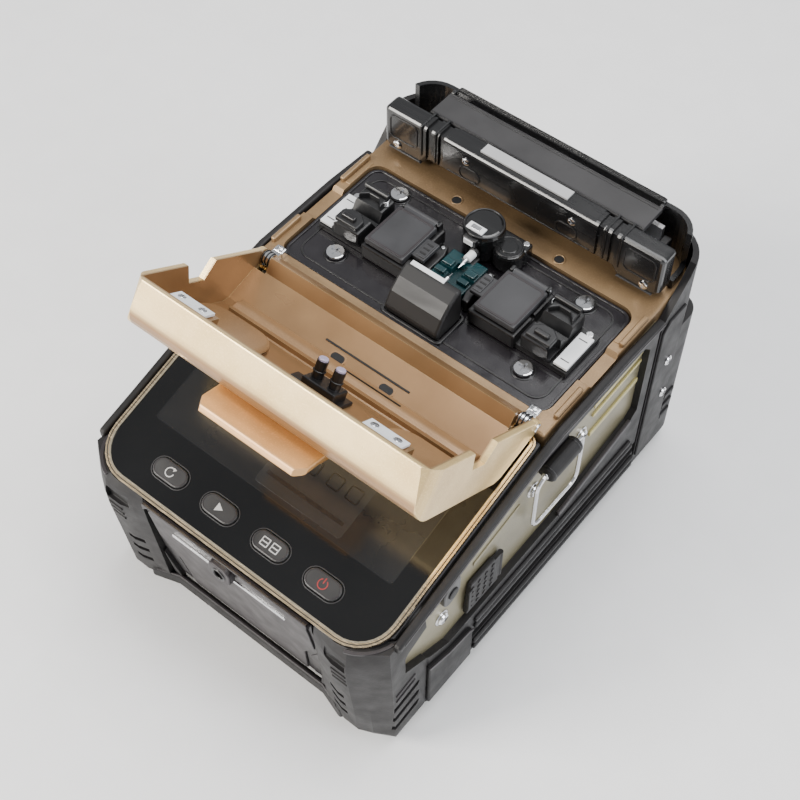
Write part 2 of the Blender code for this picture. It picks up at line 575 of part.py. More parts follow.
def heater():
    trough = block("heater_trough", (-46, 46), (73.2, 83.2), (DECK_Z + 0.4, 108), ALUMINIUM,
                   bevel=0.4)
    cut(trough, block("heater_channel", (-47, 47), (75.4, 81.0), (99.2, 109)))
    block("heater_plate", (-30, 30), (75.8, 80.6), (99.5, 100.3), CERAMIC)

    y, z = HEATER_LID_AXIS
    lift = frame_at("heater_lid_axis", y, z)
    wide = HEATER_LID_HALF_W
    block("heater_lid", (-wide, wide), (BAR_BACK + GAP - y, -0.7), (-1.5, 0.7), LID_GREY, lift,
          bevel=0.4)
    low, mid = 96.4 - z, 99.6 - z
    foot = 38.4
    side_view = [(-BAR_HALF_W + 2, low), (-foot - 2, low), (-foot, mid), (foot, mid),
                 (foot + 2, low), (BAR_HALF_W - 2, low), (BAR_HALF_W, low + 2.5),
                 (BAR_HALF_W, BAR_TOP - z), (-BAR_HALF_W, BAR_TOP - z), (-BAR_HALF_W, low + 2.5)]
    bar = prism("heater_bar", side_view, (BAR_FRONT - y, BAR_BACK - y), "Y", BLACK, lift,
                bevel=1.6, segments=3)
    for sign, side in SIDE_NAMES:
        for i, x in enumerate((31.4, 36.6)):
            band = block(f"bar_groove_{side}_{i}", sides(x, x + 2.2, sign),
                         (BAR_FRONT - y - 1, BAR_BACK - y + 1), (-30, 5), parent=lift)
            core = block(f"bar_core_{side}_{i}", sides(x - 1, x + 3.2, sign),
                         (BAR_FRONT - y + 0.9, BAR_BACK - y - 0.9), (-30, BAR_TOP - z - 0.9),
                         parent=lift)
            cut(band, core)
            cut(bar, band)
    block("heater_seat_plate", (-17.6, 17.6), (66.2 - y, 70.4 - y), (BAR_TOP - z + 0.1 + GAP / 2,
          BAR_TOP - z + 0.9), WHITE, lift)


# ---------------------------------------------------------------- side fittings

def strap_lug(sign, side):
    """A bored rubber lug and the wire ring that hangs through it."""
    x, z = 62.7, 78.0
    lug = rod(f"strap_lug_{side}", 3.2, (-3.4, 12.8), "Y", (x * sign, z), RUBBER, bevel=0.9)
    cut(lug, rod(f"lug_bore_{side}", 1.3, (-6, 16), "Y", (x * sign, z), sides=16))
    pivot = frame_at(f"{side}_ring_axis", 4.7, z, x=x * sign)
    half, drop, corner = 12.5, 26.0, 4.0
    route = []
    for cy, cz, start in ((half - corner, -corner, 90), (half - corner, -drop + corner, 0),
                          (-half + corner, -drop + corner, -90), (-half + corner, -corner, -180)):
        route += arc((cy, cz), corner, start, start - 90, 5)
    data = bpy.data.curves.new(f"strap_ring_{side}", "CURVE")
    data.dimensions = "3D"
    data.bevel_depth = 0.8 * MM
    data.bevel_resolution = 2
    data.resolution_u = 1
    data.render_resolution_u = 0
    line = data.splines.new("POLY")
    line.points.add(len(route) - 1)
    for point, (y, drop_z) in zip(line.points, route):
        point.co = (0, y * MM, drop_z * MM, 1)
    line.use_cyclic_u = True
    data.materials.append(STEEL)
    ring = bpy.data.objects.new(f"strap_ring_{side}", data)
    ring.parent = pivot
    PARTS.objects.link(ring)


def port_hatch():
    hinge = frame_at("port_hatch_axis", -22.5, 47.5, x=CASE_HALF_W + 1.6)
    flap = [(-18.0, -8.5), (-16.4, 8.5), (-4, 8.5), (-1.0, -8.5)]
    leaf = prism("port_hatch", flap, (-1.0, 0.8), "X", RUBBER, hinge, bevel=0.4)
    barrel = rod("hatch_barrel", 1.0, (-7.0, 7.0), "Z", (0, 0), parent=hinge, sides=12)
    web = block("hatch_web", (-0.9, 0.7), (-4, 0), (-7.0, 7.0), parent=hinge)
    fuse(leaf, web, barrel)


DISPLAY_PLANE = frame_at("display_plane", DISPLAY_Y, DISPLAY_Z, DISPLAY_TILT)
lower_case()
base_plate()
display_frame()
chamber_frame()
front_panel()
front_guard()
rear_panel()
rear_hood()
inside_of_case()
display()
chamber_tray()
vgroove_block()
optics()
hinge_brackets()
wind_cover()
heater()
port_hatch()
for sign, side in SIDE_NAMES:
    side_guard(sign, side)
    rear_guard(sign, side)
    stage(sign, side)
    strap_lug(sign, side)
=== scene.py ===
import math

import bmesh
import bpy
from mathutils import Matrix, Vector


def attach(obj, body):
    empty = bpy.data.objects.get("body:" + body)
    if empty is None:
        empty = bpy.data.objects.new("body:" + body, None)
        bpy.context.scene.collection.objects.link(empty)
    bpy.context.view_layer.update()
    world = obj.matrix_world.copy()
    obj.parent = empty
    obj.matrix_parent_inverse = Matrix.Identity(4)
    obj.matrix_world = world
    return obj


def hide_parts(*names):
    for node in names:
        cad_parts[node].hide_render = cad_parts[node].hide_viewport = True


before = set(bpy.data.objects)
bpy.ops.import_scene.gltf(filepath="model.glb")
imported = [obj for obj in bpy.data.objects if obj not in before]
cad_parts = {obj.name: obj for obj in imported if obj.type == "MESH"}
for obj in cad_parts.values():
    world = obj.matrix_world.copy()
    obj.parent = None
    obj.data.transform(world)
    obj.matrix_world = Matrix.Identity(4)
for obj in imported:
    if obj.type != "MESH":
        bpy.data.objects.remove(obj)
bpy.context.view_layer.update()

MM = 0.001
WORLD = Matrix.Identity(4)
SIDES = ((-1, "left"), (1, "right"))
ROOT = "chassis"

# Places in millimetres: +X the operator's right, +Y display to heater, +Z up.
DISPLAY_FRONT = (-85.5, 70.0)       # y, z of the glass's front edge
DISPLAY_TILT = 15.95
COVER_HINGE = (-2.5, 97.2)          # y, z of the wind cover's axis
COVER_OPEN = 147.0
HEATER_LID_AXIS = (84.6, 113.2)
STRAP_Z = 78
SIDE_SKIN_X = 59.3                  # just outside the case's side
ARMOUR_X = 61.6                     # just inside the side armour's outer face
TRAY_FLOOR = 93.0                   # just inside the chamber tray
CASE_SPLIT_Z = 62                   # below this the case's front leans back
CASE_LEAN = 8.5 / 58


def tilted(y, z, turn):
    """A plane through (0, y, z) in millimetres, turned about X by that many degrees."""
    return Matrix.Translation((0, y, z)) @ Matrix.Rotation(math.radians(turn), 4, "X")


DISPLAY = tilted(*DISPLAY_FRONT, DISPLAY_TILT)      # y runs up the slope, z out of the glass
COVER = tilted(*COVER_HINGE, COVER_OPEN)            # the wind cover's own axes, swung open


# ---------------------------------------------------------------- node materials

def shader(name):
    material = bpy.data.materials.new(name)
    material.use_nodes = True
    tree = material.node_tree
    tree.nodes.clear()
    out = tree.nodes.new("ShaderNodeOutputMaterial")
    main = tree.nodes.new("ShaderNodeBsdfPrincipled")
    tree.links.new(main.outputs[0], out.inputs[0])
    where = tree.nodes.new("ShaderNodeTexCoord")
    return material, tree, main, where.outputs["Object"]


def noise(tree, where, scale, detail=3.0, stretch=None, kind="NOISE"):
    """A noise of so many features per metre; stretch squeezes it along x, y and z."""
    if stretch:
        mapping = tree.nodes.new("ShaderNodeMapping")
        mapping.inputs["Scale"].default_value = stretch
        tree.links.new(where, mapping.inputs["Vector"])
        where = mapping.outputs[0]
    if kind == "CELLS":
        node = tree.nodes.new("ShaderNodeTexVoronoi")
        node.inputs["Scale"].default_value = scale
        tree.links.new(where, node.inputs["Vector"])
        return node.outputs["Distance"]
    node = tree.nodes.new("ShaderNodeTexNoise")
    node.inputs["Scale"].default_value = scale
    node.inputs["Detail"].default_value = detail
    tree.links.new(where, node.inputs["Vector"])
    return node.outputs[0]


def span(tree, value, low, high, start=0.3, stop=0.7):
    """Maps a noise's usual values onto low to high."""
    node = tree.nodes.new("ShaderNodeMapRange")
    for slot, number in zip(("From Min", "From Max", "To Min", "To Max"),
                            (start, stop, low, high)):
        node.inputs[slot].default_value = number
    tree.links.new(value, node.inputs["Value"])
    return node.outputs[0]


def mixed(tree, factor, one, two):
    node = tree.nodes.new("ShaderNodeMix")
    node.data_type = "RGBA"
    for slot, value in (("Factor", factor), ("A", one), ("B", two)):
        socket = next(s for s in node.inputs if s.name == slot and s.enabled)
        if isinstance(value, (int, float)):
            socket.default_value = value
        elif isinstance(value, tuple):
            socket.default_value = (*value, 1.0)
        else:
            tree.links.new(value, socket)
    return next(s for s in node.outputs if s.enabled)


def bumps(tree, main, *layers):
    """Stacks (height, strength, distance in mm) bumps on the shader's normal."""
    last = None
    for height, strength, depth in layers:
        node = tree.nodes.new("ShaderNodeBump")
        node.inputs["Strength"].default_value = strength
        node.inputs["Distance"].default_value = depth * MM
        tree.links.new(height, node.inputs["Height"])
        if last:
            tree.links.new(last, node.inputs["Normal"])
        last = node.outputs[0]
    tree.links.new(last, main.inputs["Normal"])


def edges(tree, radius, low=0.0, high=1.0):
    """Brightest along convex and concave edges, from the bevelled against the true normal. Used to
    paint paler edges: partly wear, partly painted edge highlight.
    """
    bevel = tree.nodes.new("ShaderNodeBevel")
    bevel.samples = 4
    bevel.inputs["Radius"].default_value = radius * MM
    true = tree.nodes.new("ShaderNodeNewGeometry")
    dot = tree.nodes.new("ShaderNodeVectorMath")
    dot.operation = "DOT_PRODUCT"
    tree.links.new(bevel.outputs[0], dot.inputs[0])
    tree.links.new(true.outputs["Normal"], dot.inputs[1])
    return span(tree, dot.outputs["Value"], high, low, 0.82, 0.99)


def plastic(name, colour, rough, grain=900, depth=0.03, tint=0.22, edge_wear_and_highlight=0.0, coat=0.0,
            spread=0.08, dust=None, specular=0.5):
    """Moulded plastic or rubber: fine spark-eroded grain, uneven gloss, paler edges that are partly
    handling wear and partly painted edge highlight.
    """
    material, tree, main, where = shader(name)
    dark = tuple(c * (1 - tint) for c in colour)
    pale = tuple(min(1.0, c * (1 + tint)) for c in colour)
    base = mixed(tree, span(tree, noise(tree, where, 60), 0, 1), dark, pale)
    if dust:
        base = mixed(tree, span(tree, noise(tree, where, 260, 6), 0, 0.35, 0.5, 0.8), base, dust)
    # Paler edges: partly rubbed wear, partly painted edge highlight.
    if edge_wear_and_highlight:
        wear_and_highlight_edges = tree.nodes.new("ShaderNodeMath")
        wear_and_highlight_edges.operation = "MULTIPLY"
        tree.links.new(edges(tree, 0.5, 0.0, edge_wear_and_highlight), wear_and_highlight_edges.inputs[0])
        tree.links.new(span(tree, noise(tree, where, 420, 4), 0.45, 1.0), wear_and_highlight_edges.inputs[1])
        base = mixed(tree, wear_and_highlight_edges.outputs[0], base, tuple(min(1.0, c * 3 + 0.05) for c in colour))
    tree.links.new(base, main.inputs["Base Color"])
    tree.links.new(span(tree, noise(tree, where, 150, 4), rough - spread, rough + spread),
                   main.inputs["Roughness"])
    main.inputs["Specular IOR Level"].default_value = specular
    main.inputs["Coat Weight"].default_value = coat
    main.inputs["Coat Roughness"].default_value = 0.08
    bumps(tree, main, (noise(tree, where, grain, 2, kind="CELLS"), 0.5, depth),
          (noise(tree, where, grain * 2.3, 2), 0.35, depth * 0.6))
    return material


def metal(name, colour, rough, brushed=None, tint=0.12, edge_wear_and_highlight=0.0, depth=0.01):
    """Bare metal, brushed along one axis or lightly tumbled."""
    material, tree, main, where = shader(name)
    stretch = brushed or (1, 1, 1)
    lines = noise(tree, where, 900, 4, stretch)
    dark = tuple(c * (1 - tint) for c in colour)
    base = mixed(tree, span(tree, lines, 0, 1), dark, colour)
    # Edges paled towards near-white: partly wear, partly painted edge highlight.
    if edge_wear_and_highlight:
        base = mixed(tree, edges(tree, 0.4, 0.0, edge_wear_and_highlight), base, (0.95, 0.93, 0.9))
    tree.links.new(base, main.inputs["Base Color"])
    main.inputs["Metallic"].default_value = 1.0
    tree.links.new(span(tree, noise(tree, where, 220, 5, stretch), rough * 0.7, rough * 1.4),
                   main.inputs["Roughness"])
    bumps(tree, main, (lines, 0.4, depth))
    return material


def metallic_paint(name, colour, glow, rough, metallic=0.55, flakes=1900, coat=0.25, inside=None):
    """Satin lacquer with flakes. inside = (colour, test plane): the moulded inner faces."""
    material, tree, main, where = shader(name)
    flake = noise(tree, where, flakes, 2)
    soft = noise(tree, where, 45, 4)
    base = mixed(tree, span(tree, soft, 0, 1), colour, glow)
    sparkle = tuple(min(1.0, c * 1.12) for c in glow)
    base = mixed(tree, span(tree, flake, 0, 0.45, 0.5, 0.75), base, sparkle)
    if inside:
        tan, mask = inside
        base = mixed(tree, mask(tree, where), base,
                     mixed(tree, span(tree, noise(tree, where, 38, 4), 0, 1), tan[0], tan[1]))
    # Edges brightened towards the pale tone: a painted edge highlight.
    base = mixed(tree, edges(tree, 0.35, 0.0, 0.25), base, tuple(min(1, c * 1.5) for c in glow))
    tree.links.new(base, main.inputs["Base Color"])
    main.inputs["Metallic"].default_value = metallic
    main.inputs["Coat Weight"].default_value = coat
    main.inputs["Coat Roughness"].default_value = 0.2
    tree.links.new(span(tree, noise(tree, where, 80, 2), rough - 0.03, rough + 0.04),
                   main.inputs["Roughness"])
    bumps(tree, main, (flake, 0.08, 0.002), (noise(tree, where, 240, 2), 0.1, 0.006))
    return material


def glossy(name, colour, rough=0.1, streak=0.12, coat=0.6, tint=0.3):
    """Piano-black or glazed surface with faint wiping marks in its gloss."""
    material, tree, main, where = shader(name)
    pale = tuple(min(1.0, c * (1 + tint) + 0.002) for c in colour)
    base = mixed(tree, span(tree, noise(tree, where, 30, 5), 0, 1), colour, pale)
    tree.links.new(base, main.inputs["Base Color"])
    wipe = noise(tree, where, 60, 6, (1.0, 5.0, 1.0))
    tree.links.new(span(tree, wipe, rough, rough + streak), main.inputs["Roughness"])
    main.inputs["Coat Weight"].default_value = coat
    main.inputs["Coat Roughness"].default_value = 0.05
    bumps(tree, main, (noise(tree, where, 90, 2), 0.08, 0.02))
    return material


def cover_inside(tree, where):
    """1 on the faces inside the open wind cover, from their place in the cover's own axes."""
    move = tree.nodes.new("ShaderNodeVectorMath")
    move.operation = "SUBTRACT"
    move.inputs[1].default_value = (0, *(place * MM for place in COVER_HINGE))
    tree.links.new(where, move.inputs[0])
    turn = tree.nodes.new("ShaderNodeVectorRotate")
    turn.rotation_type = "X_AXIS"
    turn.inputs["Angle"].default_value = -math.radians(COVER_OPEN)
    tree.links.new(move.outputs[0], turn.inputs["Vector"])
    parts = tree.nodes.new("ShaderNodeSeparateXYZ")
    tree.links.new(turn.outputs[0], parts.inputs[0])
    width = tree.nodes.new("ShaderNodeMath")
    width.operation = "ABSOLUTE"
    tree.links.new(parts.outputs[0], width.inputs[0])
    slope = tree.nodes.new("ShaderNodeMath")
    slope.operation = "MULTIPLY_ADD"
    tree.links.new(parts.outputs[1], slope.inputs[0])
    slope.inputs[1].default_value = -1.07
    tree.links.new(parts.outputs[2], slope.inputs[2])
    tests = (span(tree, width.outputs[0], 1, 0, 54.4 * MM, 54.9 * MM),
             span(tree, parts.outputs[1], 1, 0, 61.6 * MM, 62.2 * MM),
             span(tree, parts.outputs[2], 1, 0, 14.9 * MM, 15.4 * MM),
             span(tree, slope.outputs[0], 1, 0, 1.0 * MM, 1.8 * MM))
    result = tests[0]
    for test in tests[1:]:
        both = tree.nodes.new("ShaderNodeMath")
        both.operation = "MULTIPLY"
        tree.links.new(result, both.inputs[0])
        tree.links.new(test, both.inputs[1])
        result = both.outputs[0]
    return result


ARMOUR = plastic("armour_rubber", (0.0125, 0.0115, 0.012), 0.5, 1100, 0.035, edge_wear_and_highlight=0.35,
                 dust=(0.03, 0.028, 0.028), specular=0.3)
# A darker copy of the armour rubber: the real black of the hinge bands, notch button and trim
# groove, and painted shade in slots, bores and vents.
BLACK_AND_SHADE = plastic("black_rubber_and_recess_shade", (0.006, 0.0058, 0.006), 0.55, 1100, 0.04)
PANEL = plastic("panel_purple_grey", (0.026, 0.022, 0.024), 0.4, 1500, 0.02, edge_wear_and_highlight=0.3,
                specular=0.35)
# A darker copy of the panel plastic: painted shade for the faces in the front hollow.
PANEL_SHADE = plastic("panel_hollow_shade", (0.014, 0.012, 0.013), 0.4, 1500, 0.02)
FRAME = plastic("frame_grey", (0.026, 0.0245, 0.026), 0.42, 1300, 0.02, edge_wear_and_highlight=0.2)
SATIN = plastic("satin_black", (0.008, 0.0075, 0.008), 0.34, 1700, 0.012, edge_wear_and_highlight=0.3, coat=0.2)
BLOCK = plastic("anodised_black", (0.009, 0.009, 0.0098), 0.36, 2200, 0.01, edge_wear_and_highlight=0.45)
TRAY = plastic("tray_purple_black", (0.0115, 0.0098, 0.012), 0.22, 2600, 0.006, coat=0.5, edge_wear_and_highlight=0.25)
LID = plastic("lid_grey", (0.03, 0.03, 0.0325), 0.42, 1800, 0.012, edge_wear_and_highlight=0.3)
HEATER_LID = plastic("heater_lid_grey", (0.03, 0.029, 0.03), 0.5, 1600, 0.02, edge_wear_and_highlight=0.3)
KEY = plastic("key_rubber", (0.03, 0.0295, 0.03), 0.4, 2200, 0.012, edge_wear_and_highlight=0.35)
GLOSS = glossy("gloss_black", (0.005, 0.005, 0.0052))
BAR = glossy("bar_gloss_black", (0.0075, 0.0075, 0.008), 0.2, 0.12, 0.35)
GLASS = glossy("display_glass_black", (0.0028, 0.0028, 0.003), 0.06, 0.05, 0.0)
LCD = glossy("display_window", (0.0105, 0.0105, 0.011), 0.14, 0.06, 0.0, 0.4)
LCD_PALE = glossy("display_tile", (0.02, 0.02, 0.0205), 0.14, 0.06, 0.0, 0.3)
HOOD = glossy("optics_hood_grey", (0.0085, 0.0082, 0.0085), 0.4, 0.1, 0.0, 0.2)
STEEL = metal("bright_steel", (0.72, 0.72, 0.73), 0.2, (1, 12, 12))
CHROME = metal("polished_chrome", (0.86, 0.86, 0.87), 0.07, None, 0.05)
ALU = metal("bead_blasted_aluminium", (0.56, 0.56, 0.57), 0.38, (8, 1, 1))
GOLD_TRIM = metal("trim_gold", (0.80, 0.62, 0.38), 0.24, (1, 8, 8), 0.16, edge_wear_and_highlight=0.4)
# A brighter, glossier gold for the trim's inner edge: a painted highlight.
GOLD_EDGE_HIGHLIGHT = metal("trim_painted_highlight_line", (0.95, 0.82, 0.6), 0.16, (1, 8, 8), 0.06)
GOLD = metallic_paint("champagne_gold", (0.20, 0.125, 0.062), (0.33, 0.215, 0.11), 0.4)
# The wind cover's outside: its paler tone is the lit wall's highlight colour, a painted highlight
# mixed in soft patches; the inside mask gives the inner faces the tan.
COVER_GOLD = metallic_paint("cover_champagne", (0.66, 0.45, 0.19), (0.92, 0.70, 0.36), 0.3, 0.5,
                            inside=(((0.27, 0.15, 0.066), (0.40, 0.235, 0.11)), cover_inside))
COVER_IN = metallic_paint("cover_inner_tan", (0.27, 0.15, 0.066), (0.40, 0.235, 0.11), 0.4, 0.3)
TAB_GOLD = metallic_paint("tab_orange_gold", (0.52, 0.27, 0.095), (0.68, 0.38, 0.15), 0.34, 0.35)
OLIVE = metallic_paint("olive_champagne", (0.16, 0.14, 0.085), (0.27, 0.24, 0.15), 0.42, 0.35)
# A brighter, yellower copy of the olive champagne: painted highlight for the embossed side ridges.
RIDGE_HIGHLIGHT = metallic_paint("olive_ridge_highlight", (0.38, 0.33, 0.13), (0.52, 0.45, 0.2), 0.36, 0.4)
WHITE = plastic("white_plate", (0.74, 0.75, 0.76), 0.3, 1800, 0.01, tint=0.05)
SEAT = plastic("seat_plate_grey", (0.42, 0.42, 0.425), 0.35, 1500, 0.015, tint=0.08)
INK = plastic("icon_ink_grey", (0.55, 0.55, 0.55), 0.4, 2500, 0.004, tint=0.08)
RED = plastic("icon_ink_red", (0.32, 0.035, 0.035), 0.4, 2500, 0.004, tint=0.12)
TEAL = glossy("ceramic_teal", (0.0, 0.022, 0.026), 0.2, 0.1, 0.4, 0.8)
TIP = glossy("lamp_tip_lilac", (0.36, 0.31, 0.42), 0.12, 0.1, 0.4, 0.2)
BOARD = plastic("circuit_board", (0.015, 0.10, 0.05), 0.45, 800, 0.02)
PAPER = plastic("floor_paper", (0.92, 0.92, 0.925), 0.65, 300, 0.05, tint=0.015, spread=0.03)


def dress(material, *names):
    for name in names:
        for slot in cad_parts[name].material_slots:
            slot.material = material


def both(name):
    return f"{name}_left", f"{name}_right"


dress(OLIVE, "lower_case")
dress(FRAME, "display_frame")
dress(GOLD, "chamber_frame")
# The front panel sits in the hollow: painted shade.
dress(PANEL_SHADE, "front_panel")
dress(STEEL, "front_strip", *both("strap_ring"), "electrode_front", "electrode_rear")
dress(ARMOUR, "front_guard", *both("side_guard"), *both("rear_guard"), "base_plate",
      "port_hatch", *both("strap_lug"))
dress(SATIN, "rear_panel", "battery_pack", "lamp_module", *both("clamp_base"))
dress(BAR, "heater_bar", "rear_hood")
dress(BOARD, "main_board", "key_board")
dress(GOLD_TRIM, "display_trim")
dress(GLASS, "display_glass")
dress(KEY, "reset_key", "splice_key", "view_key", "power_key")
dress(LCD, "lcd_module")
dress(TRAY, "chamber_tray")
dress(CHROME, "tray_screw_front_left", "tray_screw_front_right", "tray_screw_rear_left",
      "tray_screw_rear_right", *both("hinge_bracket"), *both("hinge_pin"))
dress(TEAL, "vgroove_block", "heater_plate")
dress(BLOCK, *both("guide_block"))
dress(WHITE, *both("guide_plate"), *both("pad_plate"))
dress(LID, *both("clamp_lid"))
dress(HOOD, "front_optics_cover")
dress(GLOSS, "rear_optics_cover")
dress(COVER_GOLD, "wind_cover")
dress(TAB_GOLD, "pull_tab")
dress(ALU, "heater_trough")
dress(HEATER_LID, "heater_lid")
dress(SEAT, "heater_seat_plate")


# ---------------------------------------------------------------- shapes, in millimetres

AXES = {"X": lambda a, b, t: (t, a, b), "Y": lambda a, b, t: (a, t, b),
        "Z": lambda a, b, t: (a, b, t)}


def settle(name, bm, material, body=ROOT, at=WORLD, bevel=0.0, segments=3, warp=None):
    """Turns a bmesh in millimetres into a smooth-shaded piece that rides on a body."""
    if warp:
        for vert in bm.verts:
            vert.co = warp(vert.co)
    bmesh.ops.transform(bm, matrix=Matrix.Scale(MM, 4) @ at, verts=bm.verts)
    bmesh.ops.recalc_face_normals(bm, faces=bm.faces)
    mesh = bpy.data.meshes.new(name)
    bm.to_mesh(mesh)
    bm.free()
    mesh.shade_smooth()
    mesh.set_sharp_from_angle(angle=math.radians(32))
    obj = bpy.data.objects.new(name, mesh)
    bpy.context.scene.collection.objects.link(obj)
    obj.data.materials.append(material)
    if bevel:
        round_off(obj, bevel, segments)
    if body:
        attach(obj, body)
    return obj


def round_off(obj, bevel, segments=3):
    step = obj.modifiers.new("soft edges", "BEVEL")
    step.width = bevel * MM
    step.segments = segments
    step.limit_method = "ANGLE"
    step.angle_limit = math.radians(28)
    step.use_clamp_overlap = True
    step.harden_normals = True


def prism(name, outline, reach, axis, material, body=ROOT, at=WORLD, bevel=0.0, segments=3,
          warp=None):
    """An outline in the two other axes, drawn out along axis over reach."""
    bm = bmesh.new()
    put = AXES[axis]
    low = [bm.verts.new(put(a, b, reach[0])) for a, b in outline]
    high = [bm.verts.new(put(a, b, reach[1])) for a, b in outline]
    bm.faces.new(low[::-1])
    bm.faces.new(high)
    for i in range(len(low)):
        j = (i + 1) % len(low)
        bm.faces.new((low[i], low[j], high[j], high[i]))
    return settle(name, bm, material, body, at, bevel, segments, warp)


def block(name, xs, ys, zs, material, body=ROOT, at=WORLD, bevel=0.0, warp=None):
    (x0, x1), (y0, y1) = sorted(xs), sorted(ys)
    return prism(name, [(x0, y0), (x1, y0), (x1, y1), (x0, y1)], sorted(zs), "Z", material, body,
                 at, bevel, warp=warp)


def border(name, outer, inner, reach, axis, material, body=ROOT, at=WORLD, bevel=0.0):
    """A closed band between two outlines with the same number of points."""
    bm = bmesh.new()
    put = AXES[axis]
    rings = [[bm.verts.new(put(a, b, t)) for a, b in outline]
             for outline, t in ((outer, reach[0]), (outer, reach[1]), (inner, reach[1]),
                                (inner, reach[0]))]
    for k in range(4):
        one, two = rings[k], rings[(k + 1) % 4]
        for i in range(len(one)):
            j = (i + 1) % len(one)
            bm.faces.new((one[i], one[j], two[j], two[i]))
    return settle(name, bm, material, body, at, bevel, 2)


def rod(name, radius, reach, axis, centre, material, body=ROOT, at=WORLD, bevel=0.0, sides=32):
    turn = [2 * math.pi * i / sides for i in range(sides)]
    outline = [(centre[0] + radius * math.cos(a), centre[1] + radius * math.sin(a)) for a in turn]
    return prism(name, outline, reach, axis, material, body, at, bevel)


def loft(name, rings, material, body=ROOT):
    """Joins rings of equal point count, bottom to top, and caps both ends."""
    bm = bmesh.new()
    rows = [[bm.verts.new(p) for p in ring] for ring in rings]
    bm.faces.new(rows[0][::-1])
    bm.faces.new(rows[-1])
    for one, two in zip(rows, rows[1:]):
        for i in range(len(one)):
            j = (i + 1) % len(one)
            bm.faces.new((one[i], one[j], two[j], two[i]))
    return settle(name, bm, material, body)


def ring(name, big, small, axis, centre, place, material, body=ROOT, at=WORLD, sides=40):
    """A torus of that axis round centre, at that place along the axis."""
    bm = bmesh.new()
    put = AXES[axis]
    rows = []
    for i in range(sides):
        a = 2 * math.pi * i / sides
        row = []
        for j in range(12):
            b = 2 * math.pi * j / 12
            r = big + small * math.cos(b)
            row.append(bm.verts.new(put(centre[0] + r * math.cos(a), centre[1] + r * math.sin(a),
                                        place + small * math.sin(b))))
        rows.append(row)
    for i in range(sides):
        for j in range(12):
            bm.faces.new((rows[i][j], rows[(i + 1) % sides][j],
                          rows[(i + 1) % sides][(j + 1) % 12], rows[i][(j + 1) % 12]))
    return settle(name, bm, material, body, at)


def arc(centre, radius, start, stop, steps=8):
    return [(centre[0] + radius * math.cos(math.radians(start + (stop - start) * i / steps)),
             centre[1] + radius * math.sin(math.radians(start + (stop - start) * i / steps)))
            for i in range(steps + 1)]


def round_rect(x0, x1, y0, y1, radius, rear=None):
    """Rounded rectangle, with its own radius for the two corners at y1."""
    rear = radius if rear is None else rear
    return (arc((x1 - radius, y0 + radius), radius, -90, 0)
            + arc((x1 - rear, y1 - rear), rear, 0, 90)
            + arc((x0 + rear, y1 - rear), rear, 90, 180)
            + arc((x0 + radius, y0 + radius), radius, 180, 270))


def obround(cx, cy, length, width):
    half = (length - width) / 2
    return (arc((cx + half, cy), width / 2, -90, 90, 10)
            + arc((cx - half, cy), width / 2, 90, 270, 10))


def mirrored(points, sign):
    return [(x * sign, y) for x, y in points]


def reach(low, high, sign):
    return tuple(sorted((low * sign, high * sign)))


def carve(obj, tools):
    """Cuts the tools, which are made with body=None and used up, out of obj."""
    for tool in tools:
        step = obj.modifiers.new("cut", "BOOLEAN")
        step.operation = "DIFFERENCE"
        step.solver = "EXACT"
        step.object = tool
    shape = bpy.data.meshes.new_from_object(
        obj.evaluated_get(bpy.context.evaluated_depsgraph_get()))
    obj.modifiers.clear()
    obj.data = shape
    shape.shade_smooth()
    shape.set_sharp_from_angle(angle=math.radians(32))
    for tool in tools:
        bpy.data.objects.remove(tool)


def cross_screw(name, radius, height, axis, centre, place, way, material, body=ROOT, at=WORLD):
    """A domed screw head standing height proud of place along its axis, with a cross recess."""
    put = AXES[axis]
    bm = bmesh.new()
    rows = []
    for r, h in ((radius, -0.25), (radius, height * 0.45), (radius * 0.8, height * 0.85),
                 (radius * 0.45, height)):
        rows.append([bm.verts.new(put(centre[0] + r * math.cos(a), centre[1] + r * math.sin(a),
                                      place + h * way))
                     for a in (2 * math.pi * i / 24 for i in range(24))])
    bm.faces.new(rows[0])
    bm.faces.new(rows[-1])
    for one, two in zip(rows, rows[1:]):
        for i in range(24):
            j = (i + 1) % 24
            bm.faces.new((one[i], one[j], two[j], two[i]))
    head = settle(name, bm, material, None, at)
    near, far = sorted((place + height * way * 0.45, place + height * way * 2))
    tools = []
    for a, b in ((0.62, 0.14), (0.14, 0.62)):
        a, b = a * radius, b * radius
        outline = [(centre[0] - a, centre[1] - b), (centre[0] + a, centre[1] - b),
                   (centre[0] + a, centre[1] + b), (centre[0] - a, centre[1] + b)]
        tools.append(prism("recess", outline, (near, far), axis, material, None, at))
    carve(head, tools)
    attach(head, body)


# ---------------------------------------------------------------- front of the case

def case_lean(point):
    """The front leans back towards the floor, below the display's joint."""
    return Vector((point.x, point.y + max(0.0, CASE_SPLIT_Z - point.z) * CASE_LEAN, point.z))


def bumper_lean(point):
    return Vector((point.x, point.y + (60 - point.z) * 0.091, point.z))


